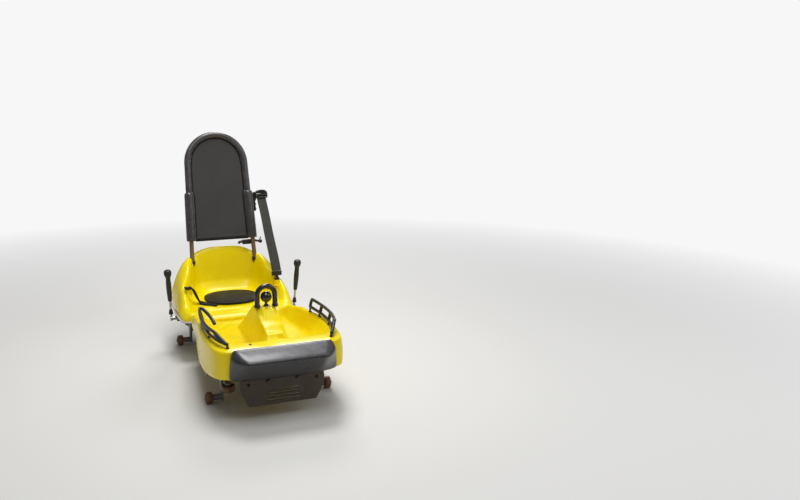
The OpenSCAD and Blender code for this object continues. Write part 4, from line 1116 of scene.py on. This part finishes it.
def mirrored(half):
    return half + [(r, -a) for r, a in reversed(half)]


def wheel_profiles(d, w, hollow):
    r, half = d / 2, w / 2
    if hollow:
        inner, deep = r - 9, 4
        across = [half - 0.8 - k * (w - 1.6) / 12 for k in range(13)]
        rolling = [(r + GROOVE_R - sqrt(GROOVE_R ** 2 - a * a), a) for a in across]
        rolling = [(rolling[0][0] - 0.9, half)] + rolling + [(rolling[0][0] - 0.9, -half)]
    else:
        inner, deep = r - 8, 3
        rolling = mirrored([(r - 3.2, half), (r - 2.6, half - 0.2), (r - 0.4, half - 2.7),
                            (r, half - 3.4)])
    tread = [(inner, half - 2.2), (inner + 1.6, half - 0.3)] + rolling
    tread += [(inner + 1.6, 0.3 - half), (inner, 2.2 - half), (inner, half - 2.2)]
    hub = mirrored([
        (7.06, half), (11.4, half), (11.9, half - 0.6), (12.2, half - 1.4), (13.2, half - 1.4),
        (13.7, half - 0.4), (14, half - 1.2), (14.6, half - deep), (inner - 2.4, half - deep),
        (inner - 1.2, half - 2.6), (inner - 0.05, half - 2.3)])
    return tread, hub + hub[:1]


RUN, GUIDE, UPSTOP = (80, 24, True), (56, 26, False), (50, 26, False)
WHEEL_X, GUIDE_X, GUIDE_AHEAD, RUN_H, UPSTOP_H = 257.5, 191.45, 84, 78.05, -65.05
# name, side, station, towards the sled's end
CORNERS = [(end + name, side, s, ahead) for end, s, ahead in [("_front_", 350, -1), ("_rear_", 1180, 1)]
           for name, side in SIDES]


def wheels():
    for corner, side, s, ahead in CORNERS:
        for kind, shape, place, axis in [
                ("run_wheel", RUN, at(side * WHEEL_X, s, RUN_H), (1, 0, 0)),
                ("guide_wheel", GUIDE, at(side * GUIDE_X, s + ahead * GUIDE_AHEAD, 0), (0, 0, 1)),
                ("upstop_wheel", UPSTOP, at(side * WHEEL_X, s, UPSTOP_H), (1, 0, 0))]:
            node, (tread, hub) = kind + corner, wheel_profiles(*shape)
            for part, form, steps, slot, replaces in [("_tread", tread, 64, "wheel_tread", node),
                                                      ("_hub", hub, 48, "cast_iron", None)]:
                bm = lathe(form, place, axis, steps)
                piece(node + part, bm, slot, node + "_body", replaces, angle=35)


# Bolts on the chassis: place of the head's seat, direction
def bolts():
    rows = [(at(x, s, 20), (0, 0, -1)) for s in (350, 640, 1180, 1300) for x in (-130, -110, 110, 130)]
    rows += [(at(x, 112, 66), (0, -1, 0)) for x in (-60, 60)]
    piece("chassis_bolts", joined(*[hex_head(p, axis) for p, axis in rows]), "cast_iron", angle=30)
    piece("deck_bolt", hex_head(at(-120, 148, 213.8), UP, 8, 1.6, 5.5), "cast_iron", angle=30)
    nuts = []
    for corner, side, s, ahead in CORNERS:
        nuts += [hex_head(at(side * (WHEEL_X + 16), s, RUN_H), (side, 0, 0), 10, 1.4, 8),
                 hex_head(at(side * (WHEEL_X + 17), s, UPSTOP_H), (side, 0, 0), 10, 2, 8)]
    piece("axle_nuts", joined(*nuts), "bright_steel", angle=30)


camera()
stage_floor()
soft_world()
lamps()
tub()
rim()
front_shell()
arm_bosses()
bumper()
mat()
lap_strap()
belt()
back_tube()
padding()
back_net()
sockets()
belt_guide()
belt_anchor()
frame_fittings()
grab_hoop()
console_knob()
foot_guards()
guard_return()
levers()
wheels()
bolts()

# node, slot, width of its softened edges
PLAIN = [("rear_buffer", "grey_bumper", 5), ("chassis_frame", "zinc_steel", 3),
         ("cross_members", "zinc_steel", 2), ("front_crossplate", "zinc_steel", 1),
         ("brake_unit", "cast_iron", 2)]
# Parts of the zinc steel slot take the darker copy of that steel, a painted shade low under the sled.
for node, slot, width in PLAIN:
    dressed(node, slot, bevel=width, finish="shade_painted_steel" if slot == "zinc_steel" else None)
for corner, side, s, ahead in CORNERS:
    dressed("carrier" + corner, "zinc_steel", bevel=1.2, finish="galvanised")
dressed("brake_shaft", "bright_steel", "brake_levers", 1)
